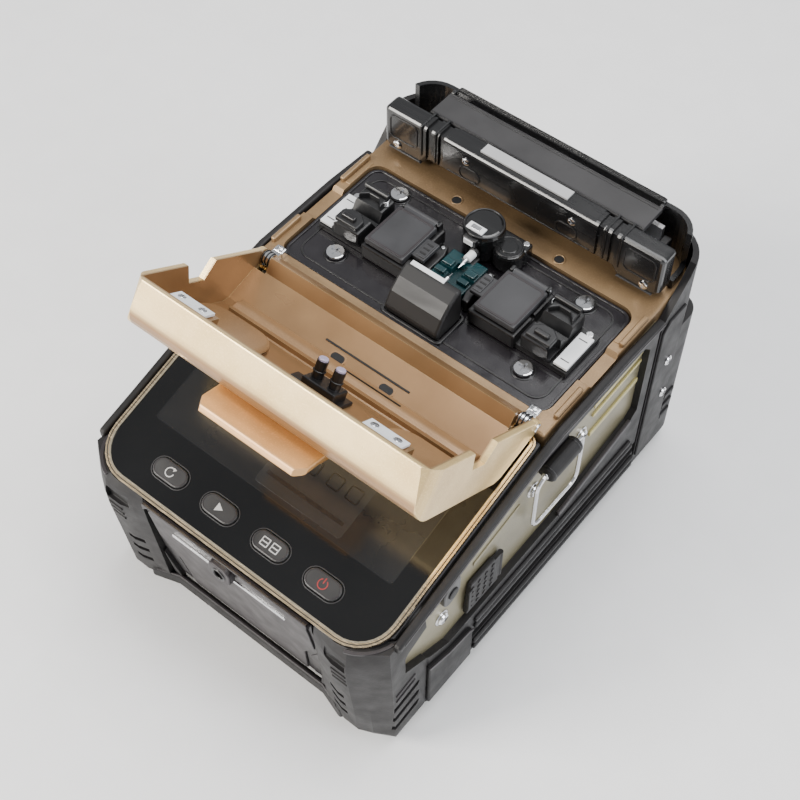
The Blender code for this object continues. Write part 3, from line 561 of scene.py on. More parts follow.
def bumper(sign, side):
    """The rubber corner: bevelled crown, leaning front, slots, ribs and a side window."""
    rings = []
    for z, front, crown in ((7.5, 5.0, 0.8), (9.5, 4.8, 0.0), (30, 2.9, 0.0), (52, 0.8, 0.0),
                            (60, 0.0, 0.4), (65, 0.0, 1.4), (69.5, 0.2, 2.8)):
        back = max(0.0, CASE_SPLIT_Z - z) * CASE_LEAN
        y = front + crown
        rings.append([(x * sign, v, z) for x, v in (
            (36, -85.2 + front * 0.9 + crown * 0.5), (40, -86.6 + front + crown * 0.8),
            (45, -88 + y), (51 - crown * 0.4, -88 + y),
            (55.5 - crown * 0.2, -84.7 + front * 0.8 + crown * 0.3),
            (62 - crown * 0.3, -79.5 + front * 0.5 + crown * 0.2),
            (62 - crown * 0.5, -61.8), (59.5, -61.8), (59.5, -73.98),
            (50.38 + back, -83.1 + back), (36, -83.1 + back))])
    corner = loft(f"corner_bumper_{side}", rings, ARMOUR, None)
    window = [(-72.5, 48.5), (-60, 41), (-60, 63), (-71, 59.5), (-72.5, 57.5)]
    tools = [prism("window", window, reach(55, 66, sign), "X", ARMOUR, None),
             block("slot", reach(41.5, 50.5, sign), (-92, -85.8), (57.2, 63), ARMOUR, None,
                   bevel=0.5),
             prism("display", round_rect(-59, 59, -0.3, 30, 14.3, 1), (-1.6, 6), "Z", ARMOUR, None,
                   DISPLAY)]
    for low in (14, 21, 28):
        cutter = [(-78, low), (-66, low + 1.6), (-65, low + 3.6), (-66, low + 4.6), (-78, low + 3)]
        tools.append(prism("groove", cutter, reach(60.7, 66, sign), "X", ARMOUR, None))
        tools.append(block("notch", reach(41, 47.5, sign), (-92, -85.6 + (60 - low) * 0.09),
                           (low + 4, low + 6.6), ARMOUR, None))
    carve(corner, tools)
    round_off(corner, 0.7)
    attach(corner, ROOT)
    if side == "left":
        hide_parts("front_guard")
    # Dark floor in the bumper slot: painted shade.
    block(f"bumper_slot_floor_{side}", reach(41.2, 50.8, sign), (-85.9, -84.9), (57.0, 63.2),
          BLACK_AND_SHADE, bevel=0.2)
    for i, z in enumerate((34.5, 38.2)):
        bar = [(-77, z), (-67.5, z + 1.6), (-67.5, z + 2.5), (-77, z + 0.9)]
        prism(f"bumper_rib_{side}_{i}", bar, reach(ARMOUR_X, 62.5, sign), "X", PANEL, bevel=0.3)
    for i, z in enumerate((53.5, 50.4, 47.3)):
        block(f"bumper_front_rib_{side}_{i}", reach(44.5, 50.5, sign), (-88.3, -86.0),
              (z, z + 1.1), ARMOUR, bevel=0.35, warp=bumper_lean)
    crescent = arc((44.7, -71.6), 15.9, -72, -14, 10) + arc((44.7, -71.6), 14.7, -14, -72, 10)
    prism(f"corner_pad_{side}", mirrored(crescent, sign), (68.9, 69.85), "Z", PANEL, bevel=0.2)
    fill = arc((44.7, 14), 13.9, -90, 0, 12) + [(58.6, 26), (55.0, 26)]
    fill += arc((44.7, 14), 10.3, 0, -90, 12)
    prism(f"corner_fill_{side}", mirrored(fill, sign), (-5.5, -1.35), "Z", ARMOUR, at=DISPLAY)
    step = [(-61.4, 35.5), (-51, 31.2), (-41, 29.4), (-38.2, 27.5), (-38.2, 9.5), (-61.4, 9.5)]
    prism(f"corner_step_{side}", step, reach(ARMOUR_X, 63.3, sign), "X", ARMOUR, bevel=0.7)
    sill = [(-61.6, 35.6), (-51, 31.3), (-40.6, 29.6), (-38.1, 27.8), (-38.1, 26.4),
            (-41, 28.2), (-51.4, 29.9), (-61.6, 34.2)]
    prism(f"corner_sill_{side}", sill, reach(62.9, 63.6, sign), "X", PANEL, bevel=0.25)


for sign, side in SIDES:
    bumper(sign, side)

ledge = [(-43, -83.4), (-33, -80.2), (33, -80.2), (43, -83.4), (44, -82), (42, -77.6),
         (-42, -77.6), (-44, -82)]
prism("front_ledge", ledge, (6.9, 12.4), "Z", ARMOUR, bevel=0.9)
crest = [(-41, -82.9), (-32.6, -79.9), (32.6, -79.9), (41, -82.9), (40.4, -81.9), (32.3, -78.8),
         (-32.3, -78.8), (-40.4, -81.9)]
prism("front_ledge_crest", crest, (12.2, 13.0), "Z", PANEL, bevel=0.35)

shield = [(-30.5, 66.2), (30.5, 66.2), (33.6, 61.5), (33.8, 45), (27.5, 33), (25.5, 14.6),
          (-25.5, 14.6), (-27.5, 33), (-33.8, 45), (-33.6, 61.5)]
plate = prism("front_shield", shield, (-85.5, -84.5), "Y", PANEL, None, warp=case_lean)
carve(plate, [block("slit", (-25.2, 25.2), (-90, -85.2), (55.0, 57.6), PANEL, None)])
round_off(plate, 0.35)
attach(plate, ROOT)
for sign, side in SIDES:
    # Webs in the front hollow, in the darker panel colour: painted shade.
    web = [(35.4, 14.6), (27.8, 14.6), (29.6, 32), (35.4, 43)]
    prism(f"hollow_web_{side}", mirrored(web, sign), (-84.9, -84.5), "Y", PANEL_SHADE, bevel=0.15,
          warp=case_lean)
    buttress = [(35.2, 12.2), (31.6, 12.2), (35.2, 30.5)]
    prism(f"hollow_buttress_{side}", mirrored(buttress, sign), (-86.6, -84.6), "Y", ARMOUR,
          bevel=0.4, warp=case_lean)
brow = [(-34.6, 66.8), (-34.6, 63.2), (-31.8, 66.1), (31.8, 66.1), (34.6, 63.2), (34.6, 66.8)]
prism("front_brow", brow, (-86.4, -84.6), "Y", PANEL, bevel=0.35)

house = prism("eyelet_housing", round_rect(-4.4, 4.4, 58.4, 66.4, 2.2), (-88.0, -85.2), "Y", PANEL,
              None)
carve(house, [rod("bore", 2.1, (-89, -86.0), "Y", (0, 62.2), PANEL, None)])
round_off(house, 0.5)
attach(house, ROOT)
ring("eyelet_ring", 2.35, 0.5, "Y", (0, 62.2), -87.9, SATIN)
rod("eyelet_lens", 1.7, (-86.5, -85.6), "Y", (0, 62.2), GLOSS, bevel=0.3)


# ---------------------------------------------------------------- display and keys

window = round_rect(-48.8, 48.8, 23.4, 82.0, 1.2)
prism("lcd_window", window, (-0.26, -0.12), "Z", LCD, at=DISPLAY, bevel=0.05)
border("lcd_frame", round_rect(-49.1, 49.1, 23.1, 82.3, 1.5),
       round_rect(-48.7, 48.7, 23.5, 81.9, 1.1), (-0.26, -0.09), "Z", GLOSS, at=DISPLAY)
prism("menu_tile", round_rect(-8, 27, 25.2, 47, 1.0), (-0.2, -0.09), "Z", LCD_PALE, at=DISPLAY,
      bevel=0.03)
for i, x in enumerate((-3.6, 5.4, 14.4, 22.0)):
    border(f"menu_mark_{i}", round_rect(x - 2.6, x + 2.6, 36.5, 41.7, 1.0),
           round_rect(x - 2.1, x + 2.1, 37.0, 41.2, 0.6), (-0.12, -0.05), "Z", LCD, at=DISPLAY)
block("menu_bar", (-6, 25), (29.0, 30.2), (-0.12, -0.05), LCD, at=DISPLAY)

half = 58.7                 # the display trim's half width
# A brighter gold band along the trim's inner edge: a painted highlight on that edge.
border("trim_painted_highlight_line", round_rect(-half + 1.5, half - 1.5, 1.5, 84.5, 12.5, 2.5),
       round_rect(-half + 1.9, half - 1.9, 1.9, 84.1, 12.1, 2.1), (-0.5, 0.08), "Z", GOLD_EDGE_HIGHLIGHT,
       at=DISPLAY)
border("trim_groove", round_rect(-half + 0.62, half - 0.62, 0.62, 85.38, 13.4, 3.4),
       round_rect(-half + 0.95, half - 0.95, 0.95, 85.05, 13.05, 3.05), (-0.3, 0.05), "Z",
       BLACK_AND_SHADE, at=DISPLAY)

KEYS = (("reset_key", -31.8), ("splice_key", -10.6), ("view_key", 10.6), ("power_key", 31.8))
KEY_TOP = 0.7               # above the glass plane


def icon(name, outline, key, material=INK):
    prism(name, outline, (KEY_TOP - 0.05, KEY_TOP + 0.07), "Z", material, f"{key}_body", DISPLAY)


def arc_band(cx, cy, radius, width, start, stop, steps=20):
    return (arc((cx, cy), radius + width / 2, start, stop, steps)
            + arc((cx, cy), radius - width / 2, stop, start, steps))


for key, x in KEYS:
    border(f"{key}_crown", obround(x, 11.4, 12.5, 5.7), obround(x, 11.4, 12.0, 5.2),
           (KEY_TOP - 0.1, KEY_TOP + 0.1), "Z", PANEL, f"{key}_body", DISPLAY)
    border(f"{key}_bezel", obround(x, 11.4, 14.9, 8.1), obround(x, 11.4, 14.15, 7.35),
           (-0.3, 0.02), "Z", FRAME, at=DISPLAY, bevel=0.08)
x = KEYS[0][1]
icon("reset_arc", arc_band(x, 11.4, 1.55, 0.36, 60, 360), "reset_key")
icon("reset_arrow", [(x + 0.4, 13.35), (x + 1.7, 13.0), (x + 0.75, 12.05)], "reset_key")
x = KEYS[1][1]
icon("play_mark", [(x - 1.1, 9.9), (x + 1.5, 11.4), (x - 1.1, 12.9)], "splice_key")
x = KEYS[2][1]
for i, dx in enumerate((-2.0, 2.0)):
    prism(f"view_frame_{i}", round_rect(x + dx - 1.5, x + dx + 1.5, 9.9, 12.9, 0.3),
          (KEY_TOP - 0.05, KEY_TOP + 0.07), "Z", INK, "view_key_body", DISPLAY)
    prism(f"view_field_{i}", round_rect(x + dx - 1.15, x + dx + 1.15, 10.25, 12.55, 0.15),
          (KEY_TOP, KEY_TOP + 0.09), "Z", KEY, "view_key_body", DISPLAY)
    block(f"view_fibre_{i}", (x + dx - 1.1, x + dx + 1.1), (11.2, 11.6),
          (KEY_TOP, KEY_TOP + 0.12), INK, "view_key_body", DISPLAY)
x = KEYS[3][1]
icon("power_arc", arc_band(x, 11.3, 1.6, 0.36, 120, 420), "power_key", RED)
icon("power_bar", [(x - 0.2, 11.5), (x + 0.2, 11.5), (x + 0.2, 13.4), (x - 0.2, 13.4)],
     "power_key", RED)


# ---------------------------------------------------------------- sides

RAIL_PATH = ((-76.5, 69.3), (-74, 70.2), (-61.5, 73.6), (-3.5, 90.4), (4, 91.9), (40, 91.9),
             (61.3, 90.4))


def side_armour(sign, side):
    plate = [(-73.4, 39), (-73.4, 66.5), (-61.5, 71.2), (-3, 88.2), (4, 89.6), (61.3, 89.6),
             (61.3, 33), (-60, 33)]
    prism(f"side_plate_{side}", plate, reach(59.22, 59.48, sign), "X", OLIVE)
    rail = [(y, z + 1.9) for y, z in RAIL_PATH] + [(y, z - 1.7) for y, z in RAIL_PATH[::-1]]
    prism(f"display_rail_{side}", rail, reach(60.1, 62.9, sign), "X", ARMOUR, bevel=0.95,
          segments=4)
    thin = [(y, z + 0.5) for y, z in RAIL_PATH[1:]] + [(y, z - 0.3) for y, z in
                                                      RAIL_PATH[:0:-1]]
    prism(f"rail_line_{side}", thin, reach(62.7, 63.1, sign), "X", PANEL, bevel=0.15)
    for i, (z, start, stop) in enumerate(((9.4, -36.5, 60), (13.4, -36.5, 60), (24.6, -36.5, 57),
                                          (28.6, -36.5, 55))):
        block(f"foot_rib_{side}_{i}", reach(61.7, 63.2, sign), (start, stop), (z, z + 2.4), ARMOUR,
              bevel=0.7)
    flare = [(10, 38), (51.8, 46.4), (52.6, 44.2), (10.2, 35.6)]
    prism(f"sill_line_{side}", flare, reach(61.3, 62.6, sign), "X", PANEL, bevel=0.3)
    for i, (y, z) in enumerate(((-5.0, 68.7), (21.5, 69.6), (-51.7, 51.3))):
        rod(f"side_washer_{side}_{i}", 3.1, reach(SIDE_SKIN_X, 59.9, sign), "X", (y, z), STEEL,
            bevel=0.2)
        cross_screw(f"side_screw_{side}_{i}", 2.4, 1.2, "X", (y, z), 59.9 * sign, sign, CHROME)
    # Embossed ridges in the brighter olive: a painted highlight along them.
    for i, (z, high) in enumerate(((62.5, 2.2), (73.5, 1.4), (78.5, 1.8))):
        ridge = [(27, z), (55, z + 1.6), (55, z + 1.6 + high), (27, z + high)]
        prism(f"side_stripe_{side}_{i}", ridge, reach(SIDE_SKIN_X, 60.3, sign), "X", RIDGE_HIGHLIGHT,
              bevel=0.3)
    ridge = [(-36, 62.3), (-12, 67.6), (-12, 69.0), (-36, 63.7)]
    prism(f"side_crease_{side}", ridge, reach(SIDE_SKIN_X, 60.0, sign), "X", OLIVE, bevel=0.3)
    notch = round_rect(-52.4, -44.2, 59.0, 70.6, 3.8)
    lean = [(y, z + (y + 48) * 0.28) for y, z in notch]
    prism(f"rail_notch_{side}", lean, reach(SIDE_SKIN_X, 61.2, sign), "X", SATIN, bevel=0.6)
    rod(f"notch_button_{side}", 2.3, reach(60.9, 61.7, sign), "X", (-48.2, 64.0), BLACK_AND_SHADE,
        bevel=0.4)
    post = [(62.6, 12), (62.6, 84), (66, 87.5), (76, 87.5), (76, 12)]
    prism(f"rear_post_{side}", post, reach(61.7, 62.8, sign), "X", ARMOUR, bevel=0.5)
    for i, (y, z) in enumerate(((70.0, 63.0), (72.0, 42.6))):
        cross_screw(f"post_screw_{side}_{i}", 2.0, 1.0, "X", (y, z), 62.8 * sign, sign, CHROME)
    for i, z in enumerate((20, 26, 32)):
        block(f"rear_rib_{side}_{i}", reach(61.4, 62.7, sign), (76.6, 83), (z, z + 2.2), ARMOUR,
              bevel=0.4)
    rod(f"lug_pin_{side}", 1.25, (-4.2, 13.6), "Y", (62.7 * sign, STRAP_Z), STEEL, bevel=0.3)
    for i, y in enumerate((-2.4, 11.0)):
        ring(f"lug_collar_{side}_{i}", 3.05, 0.32, "Y", (62.7 * sign, STRAP_Z), y, SATIN)
    block(f"lug_bridge_{side}", reach(SIDE_SKIN_X, 60.6, sign), (-2.6, 12.0), (74.8, 81.4), ARMOUR,
          bevel=0.5)


for sign, side in SIDES:
    side_armour(sign, side)

for i in range(4):
    for j in range(5):
        y, z = -38.6 + 3.6 * i + 0.12 * j, 41.4 + 2.9 * j
        rod(f"hatch_dimple_{i}_{j}", 0.85, (61.45, 61.95), "X", (y, z), ARMOUR, "port_hatch",
            bevel=0.2, sides=10)
block("hatch_lip", (61.4, 62.1), (-40.4, -38.9), (41.5, 53.5), ARMOUR, "port_hatch", bevel=0.25)


# ---------------------------------------------------------------- splice chamber

border("tray_outline", round_rect(-50.5, 50.5, 8.0, 52.6, 5.0),
       round_rect(-49.9, 49.9, 8.6, 52.0, 4.4), (TRAY_FLOOR, 93.55), "Z", SATIN, bevel=0.12)
border("tray_step", round_rect(-54.1, 54.1, 4.9, 55.6, 4.4),
       round_rect(-53.1, 53.1, 5.9, 54.6, 3.5), (TRAY_FLOOR, 93.7), "Z", TRAY, bevel=0.2)
for sign, side in SIDES:
    border(f"tray_bay_{side}", round_rect(*reach(11.8, 52.2, sign), 19.0, 41.6, 2.2),
           round_rect(*reach(12.4, 51.6, sign), 19.6, 41.0, 1.7), (TRAY_FLOOR, 93.3), "Z",
           SATIN)
    for y, end in ((15.5, "front"), (49.8, "rear")):
        ring(f"screw_seat_{end}_{side}", 3.9, 0.3, "Z", (38.8 * sign, y), 93.2, SATIN)
    # Dark disc in the strip bore: painted shade.
    rod(f"strip_bore_{side}", 1.7, (94.4, 94.72), "Z", (21.5 * sign, 59.4), BLACK_AND_SHADE)
    ring(f"strip_bore_rim_{side}", 1.95, 0.3, "Z", (21.5 * sign, 59.4), 94.65, GOLD)
    for name, y0, y1 in (("front", 5.5, 19.5), ("rear", 41.5, 56.5)):
        block(f"wall_pad_{name}_{side}", reach(57.1, 59.0, sign), (y0, y1), (94.3, 96.4), GOLD,
              bevel=0.6)
    block(f"wall_step_{side}", reach(54.9, 56.9, sign), (42, 55), (94.3, 94.9), GOLD, bevel=0.2)

    stage, clamp = f"{side}_stage", f"{side}_clamp"
    x0, x1 = reach(14.9, 30.1, sign)
    border(f"lid_rim_{side}", round_rect(x0, x1, 21.1, 38.9, 1.4), round_rect(x0 + 0.8, x1 - 0.8,
           21.9, 38.1, 0.9), (102.6, 103.0), "Z", PANEL, clamp, bevel=0.12)
    rod(f"lid_magnet_{side}", 1.1, (99.95, 100.3), "Z", (27.0 * sign, 24.5), STEEL, clamp)
    block(f"tab_grip_{side}", reach(9.9, 13.2, sign), (26.2, 33.6), (101.7, 102.15), LID, clamp,
          bevel=0.2)
    # Dark blocks in the tab grip's slots: painted shade.
    for i, y in enumerate((27.8, 29.9, 32.0)):
        block(f"tab_slot_{side}_{i}", reach(10.4, 12.8, sign), (y - 0.3, y + 0.3), (102.0, 102.3),
              BLACK_AND_SHADE, clamp)
    rod(f"hinge_pin_clamp_{side}", 0.75, reach(14.6, 30.4, sign), "X", (41.4, 101.2), STEEL, stage,
        bevel=0.2)
    for i, x in enumerate((14.9, 29.4)):
        block(f"hinge_cheek_{side}_{i}", reach(x - 0.5, x + 0.9, sign), (40.2, 42.7),
              (96.5, 102.3), BLOCK, stage, bevel=0.5)
    for i, y in enumerate((23.2, 37.6)):
        rod(f"carriage_screw_{side}_{i}", 1.3, (95.5, 96.6), "Z", (48.2 * sign, y + 0.6), STEEL,
            stage, bevel=0.25)
    rod(f"spring_post_{side}", 1.2, (99.2, 103.4), "Z", (35.2 * sign, 37.2), BLOCK, stage,
        bevel=0.4)
    for i in range(4):
        ring(f"spring_coil_{side}_{i}", 1.45, 0.24, "Z", (35.2 * sign, 37.2), 102.2 + 0.55 * i,
             STEEL, stage, sides=20)
    horn = [(34.4, 33.4), (37.0, 36.2), (41.0, 36.2), (43.8, 33.6), (43.8, 38.6), (34.4, 38.6)]
    prism(f"guide_horn_{side}", mirrored(horn, sign), (101.7, 104.2), "Z", BLOCK, stage,
          bevel=0.5)
    jaw = [(34.4, 21.2), (43.8, 21.2), (43.8, 25.8), (41.2, 27.8), (37.4, 27.8), (34.4, 25.4)]
    prism(f"guide_jaw_{side}", mirrored(jaw, sign), (101.7, 103.6), "Z", BLOCK, stage, bevel=0.5)
    block(f"guide_latch_{side}", reach(36.6, 42.0, sign), (22.6, 24.4), (103.4, 105.0), SATIN,
          stage, bevel=0.5)
    rod(f"guide_roller_{side}", 1.0, reach(34.0, 44.2, sign), "X", (38.2, 105.0), BLOCK, stage,
        bevel=0.3)
    for i, y in enumerate((24.2, 34.4)):
        block(f"plate_mark_{side}_{i}", reach(46.6, 49.8, sign), (y - 0.2, y + 0.2),
              (96.85, 97.08), FRAME, stage)
    arm = [(8.6, 22.6), (10.9, 22.6), (10.9, 38.2), (8.6, 38.2), (7.3, 34.2), (7.3, 26.4)]
    prism(f"centre_arm_{side}", mirrored(arm, sign), (93.6, 98.4), "Z", SATIN, bevel=0.6)
    rod(f"arm_screw_{side}", 0.7, (98.2, 98.9), "Z", (9.7 * sign, 36.4), STEEL, bevel=0.2)
    block(f"groove_cheek_{side}", reach(2.6, 6.6, sign), (27.4, 29.6), (97.8, 99.4), TEAL,
          bevel=0.35)
    block(f"groove_cheek_rear_{side}", reach(2.6, 6.6, sign), (31.6, 34.4), (97.8, 99.0), TEAL,
          bevel=0.35)

for name, y0, y1 in (("front", 20.0, 23.4), ("rear", 36.6, 41.2)):
    rod(f"electrode_sleeve_{name}", 1.5, (y0, y1), "Y", (0, 99.4), WHITE, bevel=0.3)
    rod(f"electrode_cap_{name}", 2.0, (y0, y0 + 1.2) if name == "front" else (y1 - 1.2, y1), "Y",
        (0, 99.4), SATIN, bevel=0.3)
    block(f"electrode_clamp_{name}", (-2.6, 2.6), (y0 + 0.2, y1 - 0.6), (96.6, 98.2), SATIN,
          bevel=0.4)
# A thin white strip along the hood's top edge: a painted highlight.
strip = [(17.9, 107.5), (19.5, 107.75), (19.5, 108.1), (17.8, 107.8)]
prism("hood_painted_highlight", strip, (-9.0, 4.6), "X", WHITE, bevel=0.15)
border("hood_skirt", round_rect(-12.3, 12.3, 5.6, 20.6, 1.8),
       round_rect(-11.2, 11.2, 6.7, 19.9, 1.2), (TRAY_FLOOR, 94.3), "Z", SATIN, bevel=0.3)
block("dome_window", (-6.0, 0.6), (43.4, 46.6), (105.3, 105.95), WHITE, bevel=0.25)
block("dome_window_glass", (-4.6, -0.9), (44.0, 46.0), (105.7, 106.05), STEEL, bevel=0.15)
block("dome_bracket", (-5.0, 0.4), (40.3, 42.6), (101.6, 104.6), SATIN, bevel=0.5)
block("dome_bracket_plate", (-4.2, -0.6), (39.9, 40.4), (102.2, 104.2), WHITE, bevel=0.12)
ring("dome_rim", 6.6, 0.35, "Z", (-2.0, 48.6), 105.2, SATIN)
ring("pod_rim", 4.5, 0.3, "Z", (8.4, 48.6), 100.9, SATIN)
rod("pod_lens", 3.0, (100.8, 101.35), "Z", (8.4, 48.6), GLOSS, bevel=0.25)
for i, x in enumerate((-7.4, 12.0)):
    rod(f"lens_back_screw_{i}", 1.1, (100.3, 101.1), "Z", (x, 53.4), STEEL, bevel=0.25)


# ---------------------------------------------------------------- wind cover

LID_BODY = "wind_cover"
ROOF = 14.6                 # inner face of the roof, in the cover's own axes
for sign, side in SIDES:
    outline = round_rect(*reach(23.5, 53.9, sign), 23.0, 55.5, 9.0)
    prism(f"cover_bulge_{side}", outline, (ROOF - 3.0, ROOF + 0.4), "Z", COVER_IN, LID_BODY, COVER,
          bevel=2.2, segments=5)
    for i, x in enumerate((32.6, 40.8)):
        cross_screw(f"plate_screw_{side}_{i}", 1.35, 0.45, "Z", (x * sign, 58.1), -1.9, -1, STEEL,
                    LID_BODY, COVER)
    rod(f"lamp_tip_{side}", 1.65, (3.1, 4.3), "Z", (3.4 * sign, 31.5), TIP, LID_BODY, COVER,
        bevel=0.45, sides=20)
    ring(f"lamp_collar_{side}", 1.9, 0.3, "Z", (3.4 * sign, 31.5), 7.6, SATIN, LID_BODY, COVER)
    rod(f"pivot_cap_{side}", 1.75, reach(56.4, 57.3, sign), "X", (0, 0), CHROME, LID_BODY, COVER,
        bevel=0.4)
    for i, x in enumerate((50.9, 52.2, 53.5)):
        ring(f"hinge_band_{side}_{i}", 2.32, 0.26, "X", COVER_HINGE, x * sign, BLACK_AND_SHADE)
    block(f"hinge_block_{side}", reach(50.0, 54.1, sign), (1.2, 4.2), (94.3, 97.6), CHROME,
          bevel=0.6)
    cross_screw(f"hinge_screw_{side}", 1.2, 0.5, "Z", (52.0 * sign, 2.8), 97.6, 1, STEEL)
    rib = [(3.0, 3.4), (11.5, 12.2), (11.5, 14.0), (3.0, 5.0)]
    prism(f"cover_gusset_{side}", rib, reach(47.5, 48.7, sign), "X", COVER_IN, LID_BODY, COVER,
          bevel=0.3)
step = [(12.6, ROOF + 0.2), (12.2, ROOF - 2.6), (13.6, ROOF - 3.6), (16.8, ROOF - 3.4),
        (19.6, ROOF - 1.4), (21.4, ROOF + 0.2)]
prism("cover_step", step, (-48.6, 48.6), "X", COVER_IN, LID_BODY, COVER, bevel=0.7, segments=4)
SLANT = COVER @ Matrix.Translation((0, 3.4, 3.4)) @ Matrix.Rotation(math.atan(1.0625), 4, "X")
# Dark sheets in the cover's slots and ovals: painted shade.
block("cover_slot_near", (-17, 17), (7.5, 8.1), (-0.3, 0.12), BLACK_AND_SHADE, LID_BODY, SLANT)
block("cover_slot_far", (-3, 19), (15.5, 16.1), (ROOF - 3.7, ROOF - 3.3), BLACK_AND_SHADE, LID_BODY,
      COVER)
for i, x in enumerate((-9.6, 10.2)):
    prism(f"cover_oval_{i}", obround(x, 11.1, 5.2, 2.9), (-0.3, 0.14), "Z", BLACK_AND_SHADE, LID_BODY,
          SLANT)
    border(f"cover_oval_rim_{i}", obround(x, 11.1, 6.2, 3.9), obround(x, 11.1, 5.2, 2.9),
           (-0.3, 0.35), "Z", COVER_IN, LID_BODY, SLANT)
block("lamp_cable_clip", (-11.5, -7.2), (29.2, 33.6), (ROOF - 1.6, ROOF + 0.2), SATIN, LID_BODY,
      COVER, bevel=0.5)
block("lamp_foot", (-8.6, 8.6), (26.0, 37.0), (ROOF - 1.3, ROOF + 0.2), SATIN, LID_BODY, COVER,
      bevel=0.5)


# ---------------------------------------------------------------- tube heater

FRONT = 63.8                # the bar's front face
for sign, side in SIDES:
    cross_screw(f"bar_screw_end_{side}", 1.7, 0.7, "Y", (51.1 * sign, 99.6), FRONT, -1, CHROME,
                "heater_lid")
    cross_screw(f"bar_screw_mid_{side}", 1.5, 0.6, "Y", (21.7 * sign, 109.6), FRONT, -1, CHROME,
                "heater_lid")
    pad = [(40.6, 96.9), (54.6, 96.9), (54.6, 97.7), (41.2, 97.7)]
    prism(f"bar_foot_pad_{side}", mirrored(pad, sign), (FRONT - 0.45, FRONT + 0.6), "Y", LID,
          "heater_lid", bevel=0.2)
    border(f"bar_panel_{side}", round_rect(*reach(42.4, 54.6, sign), 102.1, 112.4, 2.2),
           round_rect(*reach(42.9, 54.1, sign), 102.6, 111.9, 1.8),
           (FRONT - 0.3, FRONT + 0.4), "Y", SATIN, "heater_lid", bevel=0.1)
    border(f"bar_boss_{side}", round_rect(*reach(15.6, 24.4, sign), 101.4, 107.2, 2.4),
           round_rect(*reach(16.1, 23.9, sign), 101.9, 106.7, 1.9), (FRONT - 0.28, FRONT + 0.4),
           "Y", SATIN, "heater_lid", bevel=0.1)
    for i, x in enumerate((34.2, 40.2)):
        block(f"bar_band_{side}_{i}", reach(x, x + 0.9, sign), (FRONT - 0.5, 71.9),
              (101.0, 114.9), BAR, "heater_lid", bevel=0.3)
    rod(f"lid_knuckle_{side}", 1.15, reach(42.0, 43.4, sign), "X", HEATER_LID_AXIS, SATIN,
        "heater_lid", bevel=0.3)
    block(f"heater_end_{side}", reach(46.3, 49.5, sign), (73.4, 82.8), (95.0, 104.6), SATIN,
          bevel=0.6)
block("bar_seam", (-29.5, 29.5), (FRONT - 0.22, FRONT + 0.3), (101.0, 101.5), SATIN,
      "heater_lid", bevel=0.1)
block("bar_crest", (-30, 30), (FRONT + 0.5, 71.0), (114.3, 114.62), BAR, "heater_lid", bevel=0.25)
for i, y in enumerate((82.2, 83.2)):
    block(f"lid_seam_{i}", (-42.6, 42.6), (y - 0.16, y + 0.16), (113.7, 114.08), SATIN,
          "heater_lid", bevel=0.08)
block("lid_front_seam", (-43.2, 43.2), (72.1, 72.7), (113.6, 114.15), SATIN, "heater_lid",
      bevel=0.12)
for i, y in enumerate((86.7, 87.35, 88.0)):
    block(f"strip_rib_{i}", (-41.6, 41.6), (y - 0.17, y + 0.17), (113.7, 114.15), BAR, bevel=0.1)


# ---------------------------------------------------------------- back and underside

BACK = 89.6                 # the rear panel's outer face
for i, x in enumerate((-33.5, 33.5)):
    for j, z in enumerate((12.5, 88.0)):
        cross_screw(f"rear_screw_{i}_{j}", 1.6, 0.5, "Y", (x, z), BACK - 0.15, 1, STEEL)
socket = rod("power_socket", 5.2, (BACK - 0.4, BACK + 0.35), "Y", (-22, 44), SATIN, None)
carve(socket, [rod("bore", 3.4, (BACK - 0.2, BACK + 2), "Y", (-22, 44), SATIN, None)])
round_off(socket, 0.15)
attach(socket, ROOT)
rod("power_socket_pin", 0.9, (BACK - 0.3, BACK + 0.25), "Y", (-22, 44), STEEL)
for i, x in enumerate((-3, 14)):
    border(f"data_port_{i}", round_rect(x - 6.5, x + 6.5, 41, 47.5, 1.0),
           round_rect(x - 5.7, x + 5.7, 41.8, 46.7, 0.5), (BACK - 0.4, BACK + 0.3), "Y", STEEL)
    block(f"data_port_tongue_{i}", (x - 4.6, x + 4.6), (BACK - 0.4, BACK + 0.1), (44.6, 45.8),
          SATIN)
border("battery_door_line", round_rect(-33, 33, 15, 36, 2.5), round_rect(-32.4, 32.4, 15.6, 35.4,
       2.0), (BACK - 0.4, BACK + 0.2), "Y", ARMOUR)
block("battery_door_grip", (-9, 9), (BACK - 0.3, BACK + 0.35), (30.4, 33.2), ARMOUR, bevel=0.25)
for i in range(4):
    block(f"battery_grip_rib_{i}", (-8 + 4.4 * i, -5.6 + 4.4 * i), (BACK, BACK + 0.4),
          (30.8, 32.8), SATIN, bevel=0.1)
for i, (x, y) in enumerate(((-46, -66), (46, -66), (-46, 74), (46, 74), (-46, 4), (46, 4))):
    rod(f"base_screw_{i}", 1.8, (1.75, 2.4), "Z", (x, y), STEEL, bevel=0.25)
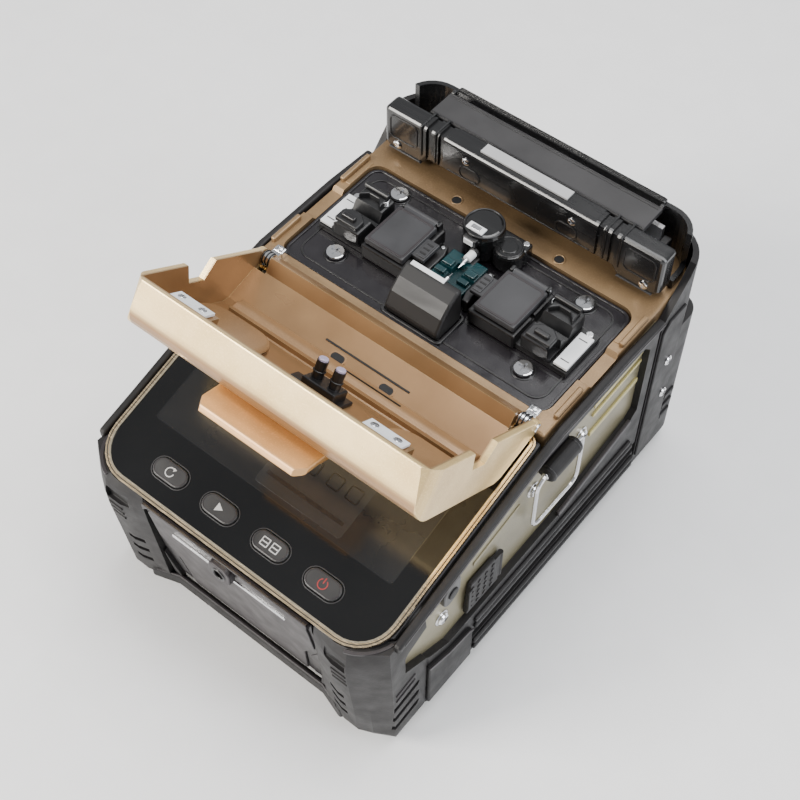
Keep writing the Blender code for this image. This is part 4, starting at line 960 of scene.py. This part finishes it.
border("base_door", round_rect(-30, 30, 24, 70, 3), round_rect(-29.2, 29.2, 24.8, 69.2, 2.4),
       (1.9, 2.4), "Z", SATIN, bevel=0.1)
# Dark vents on the base: painted shade in the vent slots.
for i in range(6):
    block(f"base_vent_{i}", (-18, 18), (-48 + 4.4 * i, -46.2 + 4.4 * i), (2.0, 2.4), BLACK_AND_SHADE,
          bevel=0.1)
for i, (x, y) in enumerate(((-40, -60), (40, -60), (-40, 68), (40, 68))):
    ring(f"foot_rim_{i}", 4.9, 0.35, "Z", (x, y), 0.38, SATIN)


# ---------------------------------------------------------------- floor, light and camera

paper = bmesh.new()
bmesh.ops.create_grid(paper, x_segments=1, y_segments=1, size=2500)
floor = settle("floor", paper, PAPER, None)

world = bpy.data.worlds.new("studio")
world.use_nodes = True
world.node_tree.nodes["Background"].inputs[0].default_value = (0.95, 0.97, 1.0, 1)
world.node_tree.nodes["Background"].inputs[1].default_value = 0.5
bpy.context.scene.world = world


def softbox(name, place, aim, size, power, colour=(1, 1, 1)):
    data = bpy.data.lights.new(name, "AREA")
    data.shape = "RECTANGLE"
    data.size, data.size_y = size
    data.energy = power
    data.color = colour
    light = bpy.data.objects.new(name, data)
    light.location = place
    light.rotation_euler = (Vector(aim) - Vector(place)).to_track_quat("-Z", "Y").to_euler()
    bpy.context.scene.collection.objects.link(light)


softbox("key_light", (-0.55, -0.75, 0.75), (0, 0, 0.06), (0.45, 0.35), 14, (1.0, 0.96, 0.9))
softbox("front_light", (-0.38, -1.0, 0.17), (0, 0, 0.1), (0.7, 0.35), 7, (1.0, 0.96, 0.88))
softbox("top_light", (0.1, 0.25, 0.95), (0, 0.02, 0.05), (0.8, 0.6), 9)
softbox("side_light", (0.85, 0.15, 0.5), (0, 0, 0.05), (0.4, 0.5), 5, (0.93, 0.96, 1.0))

lens = bpy.data.cameras.new("camera")
lens.lens = 65.979
lens.clip_start = 0.01
camera = bpy.data.objects.new("camera", lens)
camera.location = (0.18284, -0.22699, 0.46267)
camera.rotation_euler = [math.radians(a) for a in (35.901, -0.151, 38.846)]
bpy.context.scene.collection.objects.link(camera)
bpy.context.scene.camera = camera
